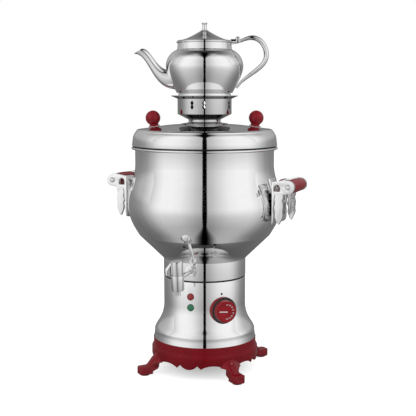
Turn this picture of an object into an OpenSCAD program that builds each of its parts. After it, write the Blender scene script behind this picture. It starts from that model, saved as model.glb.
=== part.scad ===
// Electric samovar: a steel boiler on a bell-shaped housing, with a tap, a dial and a teapot on top.
// Z is up, the table is at z = 0, the body's axis is the Z axis and the tap points along -Y.

/* [Base] */
// Turn of the base about the axis
base_turn = 2.2; // [-5:0.1:5]
// Height from the table to the top of the base ring
ring_top = 59; // [54:0.5:66]
// Outer radius of the ring's upper band
ring_r = 94.8; // [90:0.2:100]
// How far the ring's lower band stands out
ring_step = 3.2; // [2:0.2:5]
// Wall of the base ring
ring_wall = 3; // [2:0.5:4]
// Radius of the legs' front faces
toe_r = 134; // [122:1:140]
// Width of a toe
toe_w = 22; // [20:1:30]
// Height of a toe
toe_h = 15; // [14:0.5:21]
// Widest part of a leg's leaf
leaf_w = 39; // [32:0.5:42]
// Thickness of the rubber pads
pad_t = 2.5; // [1.5:0.5:4]

/* [Bell housing] */
// Height of the bell
bell_h = 113.5; // [108:0.5:130]
// Outer radius at its lower edge
bell_r = 93.8; // [88:0.2:94]
// Radius of the bell's straight part
bell_neck_r = 75; // [72:0.5:78]
// Thickness of the seam gasket
gasket_h = 2.5; // [2:0.5:6]

/* [Boiler] */
// How far the boiler's neck stands outside the bell
neck_step = 0.3; // [0.1:0.1:3]
// Height of the neck
neck_h = 31.8; // [28:0.2:40]
// Height of the cone
cone_h = 43.7; // [38:0.2:50]
// Radius at the top of the cone
cone_r = 120.4; // [112:0.2:124]
// Height of the band between cone and bowl
band_h = 9.5; // [6:0.5:14]
// Radius at the foot of the bowl
bowl_r = 126; // [122:0.5:130]
// Height from the foot of the bowl to its belly
belly_rise = 44.8; // [40:0.2:55]
// Radius of the belly
belly_r = 140; // [136:0.5:146]
// Height from the belly to the collar
shoulder_h = 74.7; // [70:0.1:85]
// Radius of the collar
collar_r = 126; // [122:0.5:129]
// Height of the collar
collar_h = 25.5; // [20:0.5:35]
// Outer radius of the rolled rim
rim_r = 132.4; // [130.5:0.1:136]
// Height of the rolled rim
rim_h = 4.5; // [3:0.5:6]

/* [Lid] */
// Radius at the lid's lower edge
lid_r = 131.4; // [128:0.2:135]
// Radius of the lid's top edge
lid_top_r = 120; // [116:0.5:124]
// Height of the lid's skirt
lid_skirt_h = 29.6; // [28:0.2:40]
// Rise of the domed top
lid_dome_h = 8.4; // [2:0.2:10]
// Thickness of the lid seal
seal_t = 1.6; // [1:0.2:3]
// Radius of the ball of a lid knob
knob_ball_r = 13.4; // [10:0.2:15]
// How far a lid knob's axis stands in from the lid's top edge
knob_inset = 29; // [24:0.5:36]
// Turn of the lid about the axis
lid_turn = 19.5; // [0:0.5:45]

/* [Crown] */
// Radius of the crown's foot
crown_foot_r = 42.5; // [38:0.5:48]
// Radius of the crown's waist
crown_waist_r = 29; // [25:0.5:33]
// Radius of the drum
drum_r = 48.8; // [46:0.2:52]
// Height of the drum
drum_h = 27.4; // [24:0.2:36]
// Radius of the flared tray
tray_r = 60.5; // [57:0.5:66]
// Height of the flare
tray_h = 5.5; // [5:0.5:10]
// Turn of the vents about the axis
vent_turn = 5.3; // [0:0.1:90]
// Vent pairs round the drum
vent_pairs = 4; // [2:1:6]

/* [Teapot] */
// Radius of the teapot's foot
pot_foot_r = 49.2; // [46:0.2:49.4]
// Height of the foot
pot_foot_h = 8.5; // [7:0.5:12]
// Radius of the teapot's belly
pot_belly_r = 69.5; // [66:0.5:73]
// Height from the foot to the belly
pot_belly_h = 48.5; // [44:0.5:54]
// Height from the belly to the neck
pot_shoulder_h = 28.5; // [26:0.5:34]
// Radius of the teapot's neck
pot_neck_r = 48; // [45:0.5:50]
// Height of the neck
pot_neck_h = 12; // [10:0.5:20]
// Outer radius of the teapot's rim
pot_rim_r = 50.4; // [50:0.1:53]
// Height of the teapot's lid without its finial
pot_lid_h = 19.5; // [12:0.5:24]
// Height of the finial
finial_h = 13; // [9:0.5:18]
// Turn of the teapot about the axis
teapot_turn = 19.5; // [0:0.5:45]

/* [Side handles] */
// Distance of a grip's axis from the body's axis
grip_reach = 172; // [168:0.5:180]
// Height of the grips above the table
grip_z = 345; // [340:0.5:350]
// Radius of a grip
grip_r = 12; // [10:0.5:14]
// Half of the grip's length
grip_half = 31; // [28:0.5:40]
// Thickness of a bracket
bracket_t = 6; // [4:0.5:8]
// Turn of the pair of handles about the axis
handle_turn = -4.5; // [-10:0.5:10]

/* [Tap] */
// Height of the tap's pipe above the table
tap_z = 192.6; // [190:0.2:196]
// Distance of the tap's barrel from the axis
tap_reach = 138.5; // [130:0.5:150]
// Outer radius of the barrel
barrel_r = 11; // [9:0.5:13]
// Radius of the plug inside the barrel
plug_r = 7; // [5:0.5:8]
// Lean of the barrel away from the body
tap_lean = 6; // [0:1:10]
// Outer radius of the nozzle
nozzle_r = 4.1; // [3.6:0.1:5]
// Reach of the lever from the barrel's axis
lever_reach = 21; // [18:0.5:30]

/* [Controls] */
// Height of the dial above the table
dial_z = 122.3; // [120:0.1:126]
// Turn of the dial from the tap
dial_turn = 44.5; // [40:0.5:60]
// Radius of the dial's bezel
bezel_r = 24; // [23:0.2:26]
// Radius of the dial's knob
dial_r = 19.2; // [16:0.5:20]
// Radius of a lamp lens
lamp_r = 6.5; // [5:0.1:7.5]
// Height of the red lamp
red_lamp_z = 146.5; // [145:0.5:150]
// Height of the green lamp
green_lamp_z = 127; // [124:0.5:130]

/* [Walls and clearances] */
// Thickness of the steel sheet
sheet = 1; // [0.8:0.1:1.5]
// Gap between pieces that come apart
lift_gap = 0.3; // [0.2:0.05:0.5]
// Gap round a turning piece
run_gap = 0.3; // [0.2:0.05:0.4]
// Gap between a piece and the curved wall that it is fastened to
seat_gap = 0.08; // [0.05:0.01:0.2]

/* [Hidden] */
fine = 96;
e = 0.01;
z_bell = ring_top;
z_gasket = z_bell + bell_h;
z_neck = z_gasket + gasket_h;
z_cone = z_neck + neck_h;
z_band = z_cone + cone_h;
z_bowl = z_band + band_h;
z_belly = z_bowl + belly_rise;
z_collar = z_belly + shoulder_h;
z_rim = z_collar + collar_h;
z_rim_top = z_rim + rim_h;
z_seal = z_rim_top + lift_gap;
z_lid = z_seal + seal_t;
z_lid_top = z_lid + lid_skirt_h;
z_dome = z_lid_top + lid_dome_h;
z_crown = z_dome + lift_gap;
crown_waist_h = 8.5;
crown_cone_h = 9.8;
z_drum = z_crown + crown_waist_h + crown_cone_h;
z_tray = z_drum + drum_h;
seat_t = 1.2;
z_pot = z_tray + seat_t + lift_gap;
z_pot_belly = z_pot + pot_belly_h + pot_foot_h;
z_pot_neck = z_pot_belly + pot_shoulder_h;
z_pot_rim = z_pot_neck + pot_neck_h;
pot_rim_h = 2.8;
z_pot_lid = z_pot_rim + pot_rim_h + lift_gap;
z_finial = z_pot_lid + pot_lid_h;

ring_in_r = ring_r - ring_wall;
band_r = ring_r + ring_step;
ledge_z = 44;
ledge_t = 3;
ledge_r = ring_in_r - 8;
plate_t = 1.5;
plate_z = ledge_z - plate_t;
rim_fit = 0.6;
locating_r = bell_r - sheet - rim_fit;
locating_h = 4;
rod_r = 3;
leg_angles = [for (a = [-45, 45, 135, 225]) a + base_turn];
screw_r = 1.7;
screw_head_r = 3.4;
screw_head_h = 2.4;

floor_t = 1.2;
shield_t = 1;
z_shield = z_gasket - sheet - shield_t;
neck_r = bell_neck_r + neck_step;
flange_in_r = neck_r - 9;
shield_r = bell_neck_r - sheet - 1.5;
heater_ring_r = 48;
heater_r = 4.2;
heater_z = z_neck + 26;
heater_gap = 24;
gland_r = 7;
terminal_z = z_shield - 14;
bulb_r = (gasket_h + sheet) / 2 - 0.2;
bulb_len = 44;
bulb_y = 30;

bracket_in = grip_half + 0.1;
bracket_out = bracket_in + bracket_t;
bracket_screw_dz = [-47.5, 4];
bracket_screw_y = 5.2;
flange_t = 4.2;
half_gap = 0.15;
grip_rod_r = 3;

barrel_top = 6;
barrel_bottom = -21;
nozzle_len = 9.5;
cap_top = 31;
bore_r = 2.8;
pipe_r = 4.3;
plug_bottom = -17;
lever_angle = 199.5;

dial_floor = 4.5;
dial_front = bell_neck_r + 7;
dial_knob_z0 = bell_neck_r + 5.3;
dial_knob_z1 = bell_neck_r + 18;
shaft_r = 3;
bush_r = 4.6;
thermostat_r = 17;
inlet_z = 125;
inlet_w = 27;
inlet_h = 19.5;

pot_wall = 0.9;
hinge_x = pot_rim_r + 9;
hinge_z = z_pot_lid + 3.7;
handle_z = z_pot_rim + 4.5;
ball_r = 4.8;
pin_r = 1;
ear_in = 5.1;
ear_t = 1.6;

// Cubic curve through its first and last control point
function bez(p, t) = pow(1 - t, 3) * p[0] + 3 * t * pow(1 - t, 2) * p[1]
    + 3 * t * t * (1 - t) * p[2] + t * t * t * p[3];
function curve(p, n) = [for (i = [0:n]) bez(p, i / n)];
function reversed(l) = [for (i = [len(l) - 1:-1:0]) l[i]];
function tail(l) = [for (i = [1:len(l) - 1]) l[i]];

// The inner line of a sheet whose outer line runs upward, with level ends
function inner_line(p, w) = let (n = len(p) - 1) [for (i = [0:n])
    let (d = p[min(i + 1, n)] - p[max(i - 1, 0)], k = norm(d))
    i == 0 || i == n ? [p[i][0] - w * k / abs(d[1]), p[i][1]] : p[i] - w * [d[1], -d[0]] / k];

bell_step_r = bell_r - 1.7;
bell_line = concat([[bell_r, z_bell], [bell_step_r, z_bell + 15.5]],
    tail(curve([[bell_step_r, z_bell + 15.5], [bell_step_r - 1.6, z_bell + 25.5],
        [bell_neck_r - 1, z_bell + 34.5], [bell_neck_r, z_bell + 68.5]], 16)),
    [[bell_neck_r, z_gasket]]);
neck_line = [[neck_r, z_neck], [neck_r, z_cone]];
cone_line = [[neck_r, z_cone], [cone_r, z_band], [bowl_r, z_bowl]];
bowl_line = concat(
    curve([[bowl_r, z_bowl], [bowl_r + 0.6 * (belly_r - bowl_r), z_bowl + 0.31 * belly_rise],
        [belly_r, z_belly - 0.36 * belly_rise], [belly_r, z_belly]], 14),
    [for (i = [1:18]) [collar_r + (belly_r - collar_r) * (1 + cos(10 * i)) / 2,
        z_belly + shoulder_h * i / 18]],
    [[collar_r, z_rim]]);
lid_line = concat([[lid_r, z_lid], [lid_r - 1.3, z_lid + 0.4 * lid_skirt_h]],
    tail(curve([[lid_r - 1.3, z_lid + 0.4 * lid_skirt_h], [lid_r - 2, z_lid + 0.62 * lid_skirt_h],
        [lid_r - 4, z_lid_top - 8], [lid_top_r + 4.4, z_lid_top - 4.2]], 5)),
    tail(curve([[lid_top_r + 4.4, z_lid_top - 4.2], [lid_top_r + 3.6, z_lid_top - 2],
        [lid_top_r + 2, z_lid_top - 0.3], [lid_top_r, z_lid_top]], 4)));
pot_base_r = pot_foot_r + 0.9;
z_pot_base = z_pot + pot_foot_h + 0.5;
pot_line = concat([[pot_foot_r, z_pot], [pot_foot_r - 2.4, z_pot + pot_foot_h]],
    curve([[pot_base_r, z_pot_base], [pot_base_r + 7.4, z_pot_base + 14], [pot_belly_r, z_pot_belly - 15.5],
        [pot_belly_r, z_pot_belly]], 12),
    tail(curve([[pot_belly_r, z_pot_belly], [pot_belly_r, z_pot_belly + 12],
        [pot_neck_r + 14, z_pot_neck - 5], [pot_neck_r + 2, z_pot_neck]], 10)),
    [[pot_neck_r, z_pot_rim]]);

module shell(line, w) {
    rotate_extrude($fn = fine) polygon(concat(line, reversed(inner_line(line, w))));
}

// A body of revolution filled to the axis, grown by a gap
module filled(line, gap) {
    first = line[0];
    last = line[len(line) - 1];
    rotate_extrude($fn = fine)
        polygon(concat([[0, first[1]]], [for (p = line) p + [gap, 0]], [[0, last[1]]]));
}

// A solid lofted through rings that hold the same number of points
module loft(rings) {
    n = len(rings[0]);
    m = len(rings);
    sides = [for (i = [0:m - 2], j = [0:n - 1], k = [0, 1])
        let (a = i * n + j, b = i * n + (j + 1) % n) k == 0 ? [a, b, b + n] : [a, b + n, a + n]];
    ends = [[for (j = [n - 1:-1:0]) j], [for (j = [0:n - 1]) (m - 1) * n + j]];
    polyhedron(points = [for (r = rings, p = r) p], faces = [for (f = concat(sides, ends)) reversed(f)]);
}

// A round bar along X, Y or Z between two stations
module bar(r, a, b, axis = "z") {
    turn = axis == "x" ? [0, 90, 0] : axis == "y" ? [-90, 0, 0] : [0, 0, 0];
    rotate(turn) translate([0, 0, a]) cylinder(r = r, h = b - a, $fn = 48);
}

// A hollow round bar along Z
module tube(ro, ri, a, b) {
    difference() {
        bar(ro, a, b);
        bar(ri, a - 1, b + 1);
    }
}

// A pan-head screw whose head's underside is at z = 0 and whose shank points down
module screw(r, head_r, head_h, length) {
    rotate_extrude($fn = 32)
        polygon([[0, -length], [r, -length], [r, 0], [head_r, 0], [head_r, head_h * 0.45],
            [head_r * 0.72, head_h], [0, head_h]]);
}

module hex_nut(r, h, bore) {
    difference() {
        cylinder(r = r, h = h, $fn = 6);
        translate([0, 0, -1]) cylinder(r = bore, h = h + 2, $fn = 32);
    }
}

// Places its children on the front of a radius: local Z points outward at the turn and height given
module on_wall(turn, z) {
    rotate([0, 0, turn]) translate([0, 0, z]) rotate([90, 0, 0]) children();
}

module place_tap() {
    translate([0, -tap_reach, tap_z]) rotate([tap_lean, 0, 0]) children();
}

// The base

// Half of the scalloped edge in one quarter: a front lobe, a notch, a point and an arch up to the leg
lobe_half = 0.161;
lobe_z = 19.5;
notch_z = 27.1;
point_half = 0.233;
point_z = 20.8;
arch_end = 0.62;
arch_top = 26.6;
lobe_arc_r = (pow(lobe_half * band_r, 2) + pow(notch_z - lobe_z, 2)) / (2 * (notch_z - lobe_z));
lobe_span = asin(lobe_half * band_r / lobe_arc_r);
half_edge = concat(
    [for (i = [0:6]) let (a = lobe_span * i / 6) [lobe_arc_r * sin(a), lobe_z + lobe_arc_r * (1 - cos(a))]],
    [[point_half * band_r, point_z]],
    [for (i = [1:11]) let (t = i / 12) [band_r * (point_half + (arch_end - point_half) * t),
        point_z + (arch_top - point_z) * pow(sin(180 * t), 0.7)]],
    [[arch_end * band_r, point_z + 0.5], [band_r, point_z + 0.5]]);

module quarter_front() {
    edge = concat(reversed([for (p = half_edge) [-p[0], p[1]]]), tail(half_edge));
    intersection() {
        rotate([90, 0, 0]) linear_extrude(band_r + 5)
            polygon(concat(edge, [[band_r, ring_top + 20], [-band_r, ring_top + 20]]));
        linear_extrude(ring_top + 20) polygon([[0, 0], [band_r + 5, -band_r - 5], [-band_r - 5,
            -band_r - 5]]);
    }
}

module base_ring() {
    step_z = ledge_z + 1;
    color("#7a1420") difference() {
        union() {
            intersection() {
                rotate_extrude($fn = fine) polygon([[ring_in_r, ring_top], [ring_r, ring_top], [ring_r,
                    step_z],
                    [band_r, step_z - 4], [band_r, 15], [band_r - ring_wall, 15], [band_r - ring_wall,
                        step_z - 5],
                    [ring_in_r, step_z]]);
                for (q = [0:3]) rotate([0, 0, 90 * q + base_turn]) quarter_front();
            }
            rotate_extrude($fn = fine) polygon([[ledge_r, ledge_z], [ring_in_r + 1, ledge_z],
                [ring_in_r + 1, ring_top], [locating_r, ring_top], [locating_r, ring_top + locating_h],
                [locating_r - 2.4, ring_top + locating_h], [locating_r - 2.4, ledge_z + ledge_t],
                [ledge_r, ledge_z + ledge_t]]);
        }
        for (a = leg_angles) rotate([0, 0, a]) translate([0, 0, leg_screw_z])
            bar(screw_r + 0.2, -band_r - 3, -ring_r + 8, "y");
        for (a = plate_screw_angles) rotate([0, 0, a]) translate([plate_screw_r, 0, 0])
            bar(screw_r, ledge_z - 1, ledge_z + ledge_t + 1);
    }
}

leg_top_z = 36.5;
leg_screw_z = 29.5;
plate_screw_r = ledge_r + 3.6;
plate_screw_angles = [for (a = [0, 90, 180, 270]) a + base_turn];

// One leg at the front, along -Y: a block toe, a sloping shin and a ridged leaf against the ring
module leg() {
    toe_in = toe_r - 23;
    back_r = band_r + seat_gap;
    deep_r = back_r - 4;
    slope = back_r + leg_top_z;
    w = toe_w / 2;
    lw = leaf_w / 2;
    color("#7a1420") difference() {
        union() {
            translate([0, 0, pad_t]) linear_extrude(toe_h - pad_t)
                polygon([[-w, -toe_in], [-w, -toe_r + 4], [-w + 4, -toe_r], [w - 4, -toe_r], [w, -toe_r + 4],
                    [w, -toe_in]]);
            intersection() {
                rotate([90, 0, 90]) translate([0, 0, -lw - 1]) linear_extrude(leaf_w + 2)
                    polygon([[-toe_in, pad_t], [toe_h + 1.5 - slope, pad_t], [toe_h + 1.5 - slope,
                        toe_h + 1.5],
                        [-back_r, leg_top_z], [-deep_r, leg_top_z], [-deep_r, 20], [-back_r - 2.5, 11],
                        [-toe_in, 7]]);
                rotate([90, 0, 0]) linear_extrude(toe_r)
                    polygon([[-w, pad_t], [-w, 10.5], [-8.6, 16], [-9, 19], [-14, 22.3], [-lw, 23.7],
                        [-lw + 1, 27], [-11, 33], [-5, leg_top_z], [5, leg_top_z], [11, 33], [lw - 1, 27],
                        [lw, 23.7], [14, 22.3], [9, 19], [8.6, 16], [w, 10.5], [w, pad_t]]);
                translate([0, 0, slope]) rotate([-45, 0, 0]) translate([0, 0, -2 * slope])
                    linear_extrude(3 * slope) polygon([[-4, 0], [4, 0], [lw + 4, 9], [lw + 4, 60], [-lw - 4,
                        60],
                        [-lw - 4, 9]]);
            }
        }
        bar(back_r, 0, ring_top);
        translate([-6.2, -toe_r - 1, 5.4]) cube([12.4, 1.8, 7]);
        translate([0, 0, leg_screw_z]) bar(screw_r, -back_r - 6, -back_r + 1, "y");
    }
}

module leg_front_left() { rotate([0, 0, leg_angles[0]]) leg(); }
module leg_front_right() { rotate([0, 0, leg_angles[1]]) leg(); }
module leg_back_right() { rotate([0, 0, leg_angles[2]]) leg(); }
module leg_back_left() { rotate([0, 0, leg_angles[3]]) leg(); }

module foot_pads() {
    color("#222222") for (a = leg_angles) rotate([0, 0, a]) translate([0, -toe_r + 11.5, 0])
        cylinder(r1 = 8.4, r2 = 9, h = pad_t, $fn = 48);
}

module base_screws() {
    color("silver") {
        for (a = leg_angles) rotate([0, 0, a]) translate([0, -band_r + ring_wall + 0.1, leg_screw_z])
            rotate([-90, 0, 0]) screw(screw_r - 0.05, screw_head_r, screw_head_h, ring_wall + 5);
        for (a = plate_screw_angles) rotate([0, 0, a]) translate([plate_screw_r, 0, plate_z])
            rotate([180, 0, 0]) screw(screw_r - 0.05, screw_head_r, screw_head_h, plate_t + ledge_t);
        for (s = [-1, 1]) translate([s * terminal_screw_x, terminal_y, plate_z])
            rotate([180, 0, 0]) screw(screw_r - 0.05, screw_head_r, screw_head_h, plate_t + 6);
    }
}

module bottom_plate() {
    color("#55585c") difference() {
        translate([0, 0, plate_z]) cylinder(r = plate_screw_r + 4.2, h = plate_t, $fn = fine);
        bar(rod_r + 0.3, plate_z - 1, ledge_z + 1);
        for (a = plate_screw_angles) rotate([0, 0, a]) translate([plate_screw_r, 0, 0])
            bar(screw_r + 0.2, plate_z - 1, ledge_z + 1);
        for (k = [0:5], s = [-1, 1]) translate([(k - 2.5) * 9 - 2, s * 38 - 14, plate_z - 1])
            cube([4, 28, plate_t + 2]);
        for (s = [-1, 1]) translate([s * terminal_screw_x, terminal_y, 0])
            bar(screw_r + 0.1, plate_z - 1, ledge_z + 1);
    }
}

// The bell housing

module bell_housing() {
    color("#c8cacc") difference() {
        union() {
            shell(bell_line, sheet);
            translate([0, 0, z_gasket - sheet]) tube(bell_neck_r - sheet / 2, flange_in_r, 0, sheet);
        }
        for (z = [red_lamp_z, green_lamp_z]) on_wall(0, z) bar(lamp_r - 1.2, 40, bell_r);
        on_wall(dial_turn, dial_z) bar(bush_r + 0.15, 40, bell_r);
        on_wall(180, inlet_z) translate([-inlet_w / 2 - 0.3, -inlet_h / 2 - 0.3, 40])
            cube([inlet_w + 0.6, inlet_h + 0.6, 60]);
        for (s = [-1, 1]) on_wall(180, inlet_z) translate([s * inlet_screw_x, 0, 0]) bar(screw_r, 40, bell_r);
    }
}
inlet_screw_x = 20;

module seam_gasket() {
    color("#1a1a1a") translate([0, 0, z_gasket]) tube(bell_neck_r - 0.7, flange_in_r, 0, gasket_h);
}

// A socket for a mains lead, let into the back of the bell
module mains_inlet() {
    color("#1c1c1c") difference() {
        union() {
            difference() {
                on_wall(180, inlet_z) translate([-25, -14, 50]) cube([50, 28, bell_neck_r + 3.5 - 50]);
                filled(bell_line, seat_gap);
            }
            on_wall(180, inlet_z) translate([-inlet_w / 2, -inlet_h / 2, 52])
                cube([inlet_w, inlet_h, bell_neck_r + 1 - 52]);
        }
        on_wall(180, inlet_z) translate([-inlet_w / 2 + 2, -inlet_h / 2 + 2, 56])
            cube([inlet_w - 4, inlet_h - 4, 40]);
        for (x = inlet_pin_x) on_wall(180, inlet_z) translate([x - 1, -2, 50]) cube([2, 4, 10]);
        for (s = [-1, 1]) on_wall(180, inlet_z) translate([s * inlet_screw_x, 0, 0])
            bar(screw_r + 0.2, 40, bell_r);
    }
}
inlet_pin_x = [-7, 0, 7];

module inlet_pins() {
    color("silver") for (x = inlet_pin_x) on_wall(180, inlet_z)
        translate([x - 0.95, -1.95, inlet_back]) cube([1.9, 3.9, x == 0 ? 27 : 25]);
}

module inlet_screws() {
    color("silver") for (s = [-1, 1]) on_wall(180, inlet_z)
        translate([s * inlet_screw_x, 0, bell_neck_r + 3.5]) screw(screw_r - 0.05, 3, 1.8, 11);
}

terminal_size = [54, 16, 14];
terminal_y = 15;
terminal_screw_x = 22;
terminal_top = ledge_z + terminal_size[2];
wire_x = [-16, -8, 0, 8, 16];

module terminal_block() {
    color("#e8e4d8") difference() {
        translate([-terminal_size[0] / 2, terminal_y - terminal_size[1] / 2, ledge_z]) cube(terminal_size);
        for (x = wire_x) translate([x, terminal_y, 0]) bar(2.6, terminal_top - 8, terminal_top + 1);
        for (s = [-1, 1]) translate([s * terminal_screw_x, terminal_y, 0]) bar(screw_r, ledge_z - 1,
            ledge_z + 7);
    }
}

// A run of round wire: straight lengths that run into each other at the bends
module wire(points, r) {
    last = len(points) - 2;
    for (i = [0:last]) {
        d = points[i + 1] - points[i];
        from = i == 0 ? 0 : -0.6 * r;
        to = norm(d) + (i == last ? 0 : 0.6 * r);
        translate(points[i]) rotate([0, acos(d[2] / norm(d)), atan2(d[1], d[0])]) translate([0, 0, from])
            cylinder(r = i % 2 == 0 ? r : 1.06 * r, h = to - from, $fn = 14);
    }
}

module wiring() {
    wire_r = 1.5;
    heater_x = heater_ring_r * sin(heater_gap);
    heater_y = heater_ring_r * cos(heater_gap);
    color("#3a6ea5") {
        for (k = [-1:1]) wire([[7 * k, inlet_back - 0.2, inlet_z], [7 * k, inlet_back - 9, inlet_z],
            [8 * k, terminal_y, terminal_top + 14], [8 * k, terminal_y, terminal_top - 7.9]], wire_r);
        for (s = [-1, 1]) wire([[s * heater_x, heater_y, terminal_z - 0.1],
            [s * heater_x, heater_y, terminal_z - 14], [s * 38, 20, 96],
            [s * 16, terminal_y, terminal_top + 12], [s * 16, terminal_y, terminal_top - 7.9]], wire_r);
        for (k = [0, 1]) {
            z = k == 0 ? red_lamp_z : green_lamp_z;
            wire([[0, 0.1 - lamp_back, z], [0, 9 - lamp_back, z], thermostat_point(36, k * 5 - 7, 6 - 9 * k),
                thermostat_point(thermostat_back - 0.1, k * 5 - 7, 6 - 9 * k)], 1.2);
        }
    }
}
inlet_back = 45;
lamp_back = 52;
thermostat_back = 44;

// A point at a distance along the dial's axis, with offsets across and up
function thermostat_point(reach, across, up) = [reach * sin(dial_turn) + across * cos(dial_turn),
    -reach * cos(dial_turn) + across * sin(dial_turn), dial_z + up];

module red_lamp_lens() { color("#b01020") lens_on_wall(red_lamp_z); }
module green_lamp_lens() { color("#0a8a50") lens_on_wall(green_lamp_z); }

// A domed lens whose back follows the bell
module lens_on_wall(z) {
    difference() {
        on_wall(0, z) intersection() {
            bar(lamp_r, bell_neck_r - 4, bell_neck_r + 4);
            translate([0, 0, bell_neck_r + 2.8 - 1.6 * lamp_r]) sphere(r = 1.6 * lamp_r, $fn = 64);
        }
        filled(bell_line, seat_gap);
    }
}

module lamp_bodies() {
    color("#dddddd") for (z = [red_lamp_z, green_lamp_z]) {
        difference() {
            on_wall(0, z) bar(lamp_r - 1.4, lamp_back, bell_neck_r - 0.1);
            on_wall(0, z) bar(0.6, lamp_back - 1, lamp_back + 6);
        }
        on_wall(0, z) translate([0, 0, bell_neck_r - sheet - 4.8]) tube(lamp_r + 1.6, lamp_r - 1.35, 0, 3);
    }
}

module thermostat_body() {
    color("#e4e0d2") on_wall(dial_turn, dial_z) difference() {
        union() {
            bar(thermostat_r, thermostat_back, 66);
            bar(bush_r, 65, bell_neck_r + 3.6);
        }
        bar(shaft_r + run_gap, 49.5, bell_neck_r + 5);
    }
}

module thermostat_nut() {
    color("silver") on_wall(dial_turn, dial_z) translate([0, 0, bell_neck_r + 0.8])
        hex_nut(7, 2.6, bush_r + 0.02);
}

module thermostat_shaft() {
    color("silver") on_wall(dial_turn, dial_z) bar(shaft_r, 50, dial_knob_z0 + 6);
}

module dial_bezel() {
    color("#7a1420") difference() {
        on_wall(dial_turn, dial_z) difference() {
            bar(bezel_r, 55, dial_front);
            bar(bezel_r - 2.2, bell_neck_r + dial_floor, dial_front + 1);
            bar(8.4, 50, dial_front);
        }
        filled(bell_line, seat_gap);
    }
}

module dial_knob() {
    color("#7a1420") on_wall(dial_turn, dial_z) {
        difference() {
            rotate_extrude($fn = fine) polygon([[0, dial_knob_z0], [dial_r, dial_knob_z0],
                [dial_r, dial_knob_z1 - 1], [dial_r - 1, dial_knob_z1], [0, dial_knob_z1]]);
            bar(shaft_r + 0.02, dial_knob_z0 - 1, dial_knob_z0 + 6.05);
        }
        translate([-0.79 * dial_r, -1.1, dial_knob_z1]) cube([dial_r, 2.2, 0.7]);
    }
}

// The thermostat's bulb, clipped below the boiler's floor, and its thin tube
module thermostat_bulb() {
    bulb_z = z_neck - bulb_r - 0.05;
    color("#b87333") {
        translate([0, bulb_y, bulb_z]) bar(bulb_r, -bulb_len / 2, bulb_len / 2, "x");
        wire([[bulb_len / 2 - 0.5, bulb_y, bulb_z], [bulb_len / 2 + 6, bulb_y, bulb_z],
            [bulb_len / 2 + 6, bulb_y, z_shield - 14], [40, -10, z_shield - 20],
            thermostat_point(50, 0, thermostat_r + 8), thermostat_point(50, 0, thermostat_r + 0.05)], 0.7);
    }
}

module heat_shield() {
    color("#a9acb0") difference() {
        translate([0, 0, z_shield]) cylinder(r = shield_r, h = shield_t, $fn = fine);
        bar(rod_r + 0.3, z_shield - 1, z_gasket);
        for (s = [-1, 1]) translate([s * heater_ring_r * sin(heater_gap), heater_ring_r * cos(heater_gap), 0])
            bar(gland_r + 1.5, z_shield - 1, z_gasket);
        translate([bulb_len / 2 + 6, bulb_y, 0]) bar(2, z_shield - 1, z_gasket);
    }
}

// A threaded rod that clamps the boiler, the bell and the base together, with its nuts
module clamp_rod() {
    color("silver") {
        bar(rod_r, plate_z - 8, z_neck - 0.05);
        translate([0, 0, plate_z - 5 - 0.05]) hex_nut(5.8, 5, rod_r + 0.03);
        translate([0, 0, z_shield - 5 - 0.05]) hex_nut(5.8, 5, rod_r + 0.03);
    }
}

// The boiler

module boiler_neck() {
    color("#c8cacc") difference() {
        union() {
            shell(neck_line, sheet);
            translate([0, 0, z_neck]) cylinder(r = neck_r - sheet / 2, h = floor_t, $fn = fine);
        }
        for (s = [-1, 1]) translate([s * heater_ring_r * sin(heater_gap), heater_ring_r * cos(heater_gap), 0])
            bar(heater_r + 0.15, z_neck - 1, z_neck + 3);
        translate([0, 0, tap_z]) bar(pipe_r + 0.05, -neck_r - 5, -neck_r + 8, "y");
    }
}

module boiler_cone() { color("#c8cacc") shell(cone_line, sheet); }

module boiler_bowl() {
    collar_in = collar_r - sheet;
    color("#c8cacc") difference() {
        union() {
            shell(bowl_line, sheet);
            rotate_extrude($fn = fine) polygon(concat([[collar_in, z_rim], [collar_r + 2, z_rim]],
                [for (i = [0:8]) let (a = -90 + 22.5 * i)
                    [rim_r - rim_h / 2 + rim_h / 2 * cos(a), z_rim + rim_h / 2 + rim_h / 2 * sin(a)]],
                [[collar_in, z_rim_top]]));
        }
        bracket_places() for (dz = bracket_screw_dz)
            translate([0, bracket_screw_y, grip_z + dz]) bar(2.2, 100, 150, "x");
    }
}

// A sheathed heating rod, bent into a ring above the boiler's floor
module heater_element() {
    color("#8d9094") {
        rotate([0, 0, 90 + heater_gap]) rotate_extrude(angle = 360 - 2 * heater_gap, $fn = fine)
            translate([heater_ring_r, 0]) translate([0, heater_z]) circle(r = heater_r, $fn = 32);
        for (s = [-1, 1])
            translate([s * heater_ring_r * sin(heater_gap), heater_ring_r * cos(heater_gap), 0]) {
                bar(heater_r, terminal_z, heater_z);
                translate([0, 0, heater_z]) sphere(r = 1.05 * heater_r, $fn = 48);
            }
    }
}

module heater_glands() {
    color("#b08d57") for (s = [-1, 1])
        translate([s * heater_ring_r * sin(heater_gap), heater_ring_r * cos(heater_gap), 0]) {
            translate([0, 0, z_neck - 4 - 0.05]) hex_nut(gland_r, 4, heater_r + 0.05);
            translate([0, 0, z_neck + floor_t + 0.05]) tube(gland_r, heater_r + 0.05, 0, 4);
        }
}

// The tap

module tap_flange() {
    color("#d4d6d8") {
        difference() {
            translate([0, 0, tap_z]) bar(9.5, -neck_r - 2.6, -neck_r + 6, "y");
            filled(neck_line, seat_gap);
            translate([0, 0, tap_z]) bar(pipe_r + 0.05, -neck_r - 9, -neck_r + 9, "y");
        }
        intersection() {
            translate([0, -neck_r + sheet + 5.4, tap_z]) rotate([90, 0, 0]) hex_nut(8, 5.4, pipe_r + 0.05);
            translate([0, 0, z_neck]) cylinder(r = neck_r - sheet - seat_gap, h = neck_h, $fn = fine);
        }
    }
}

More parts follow.
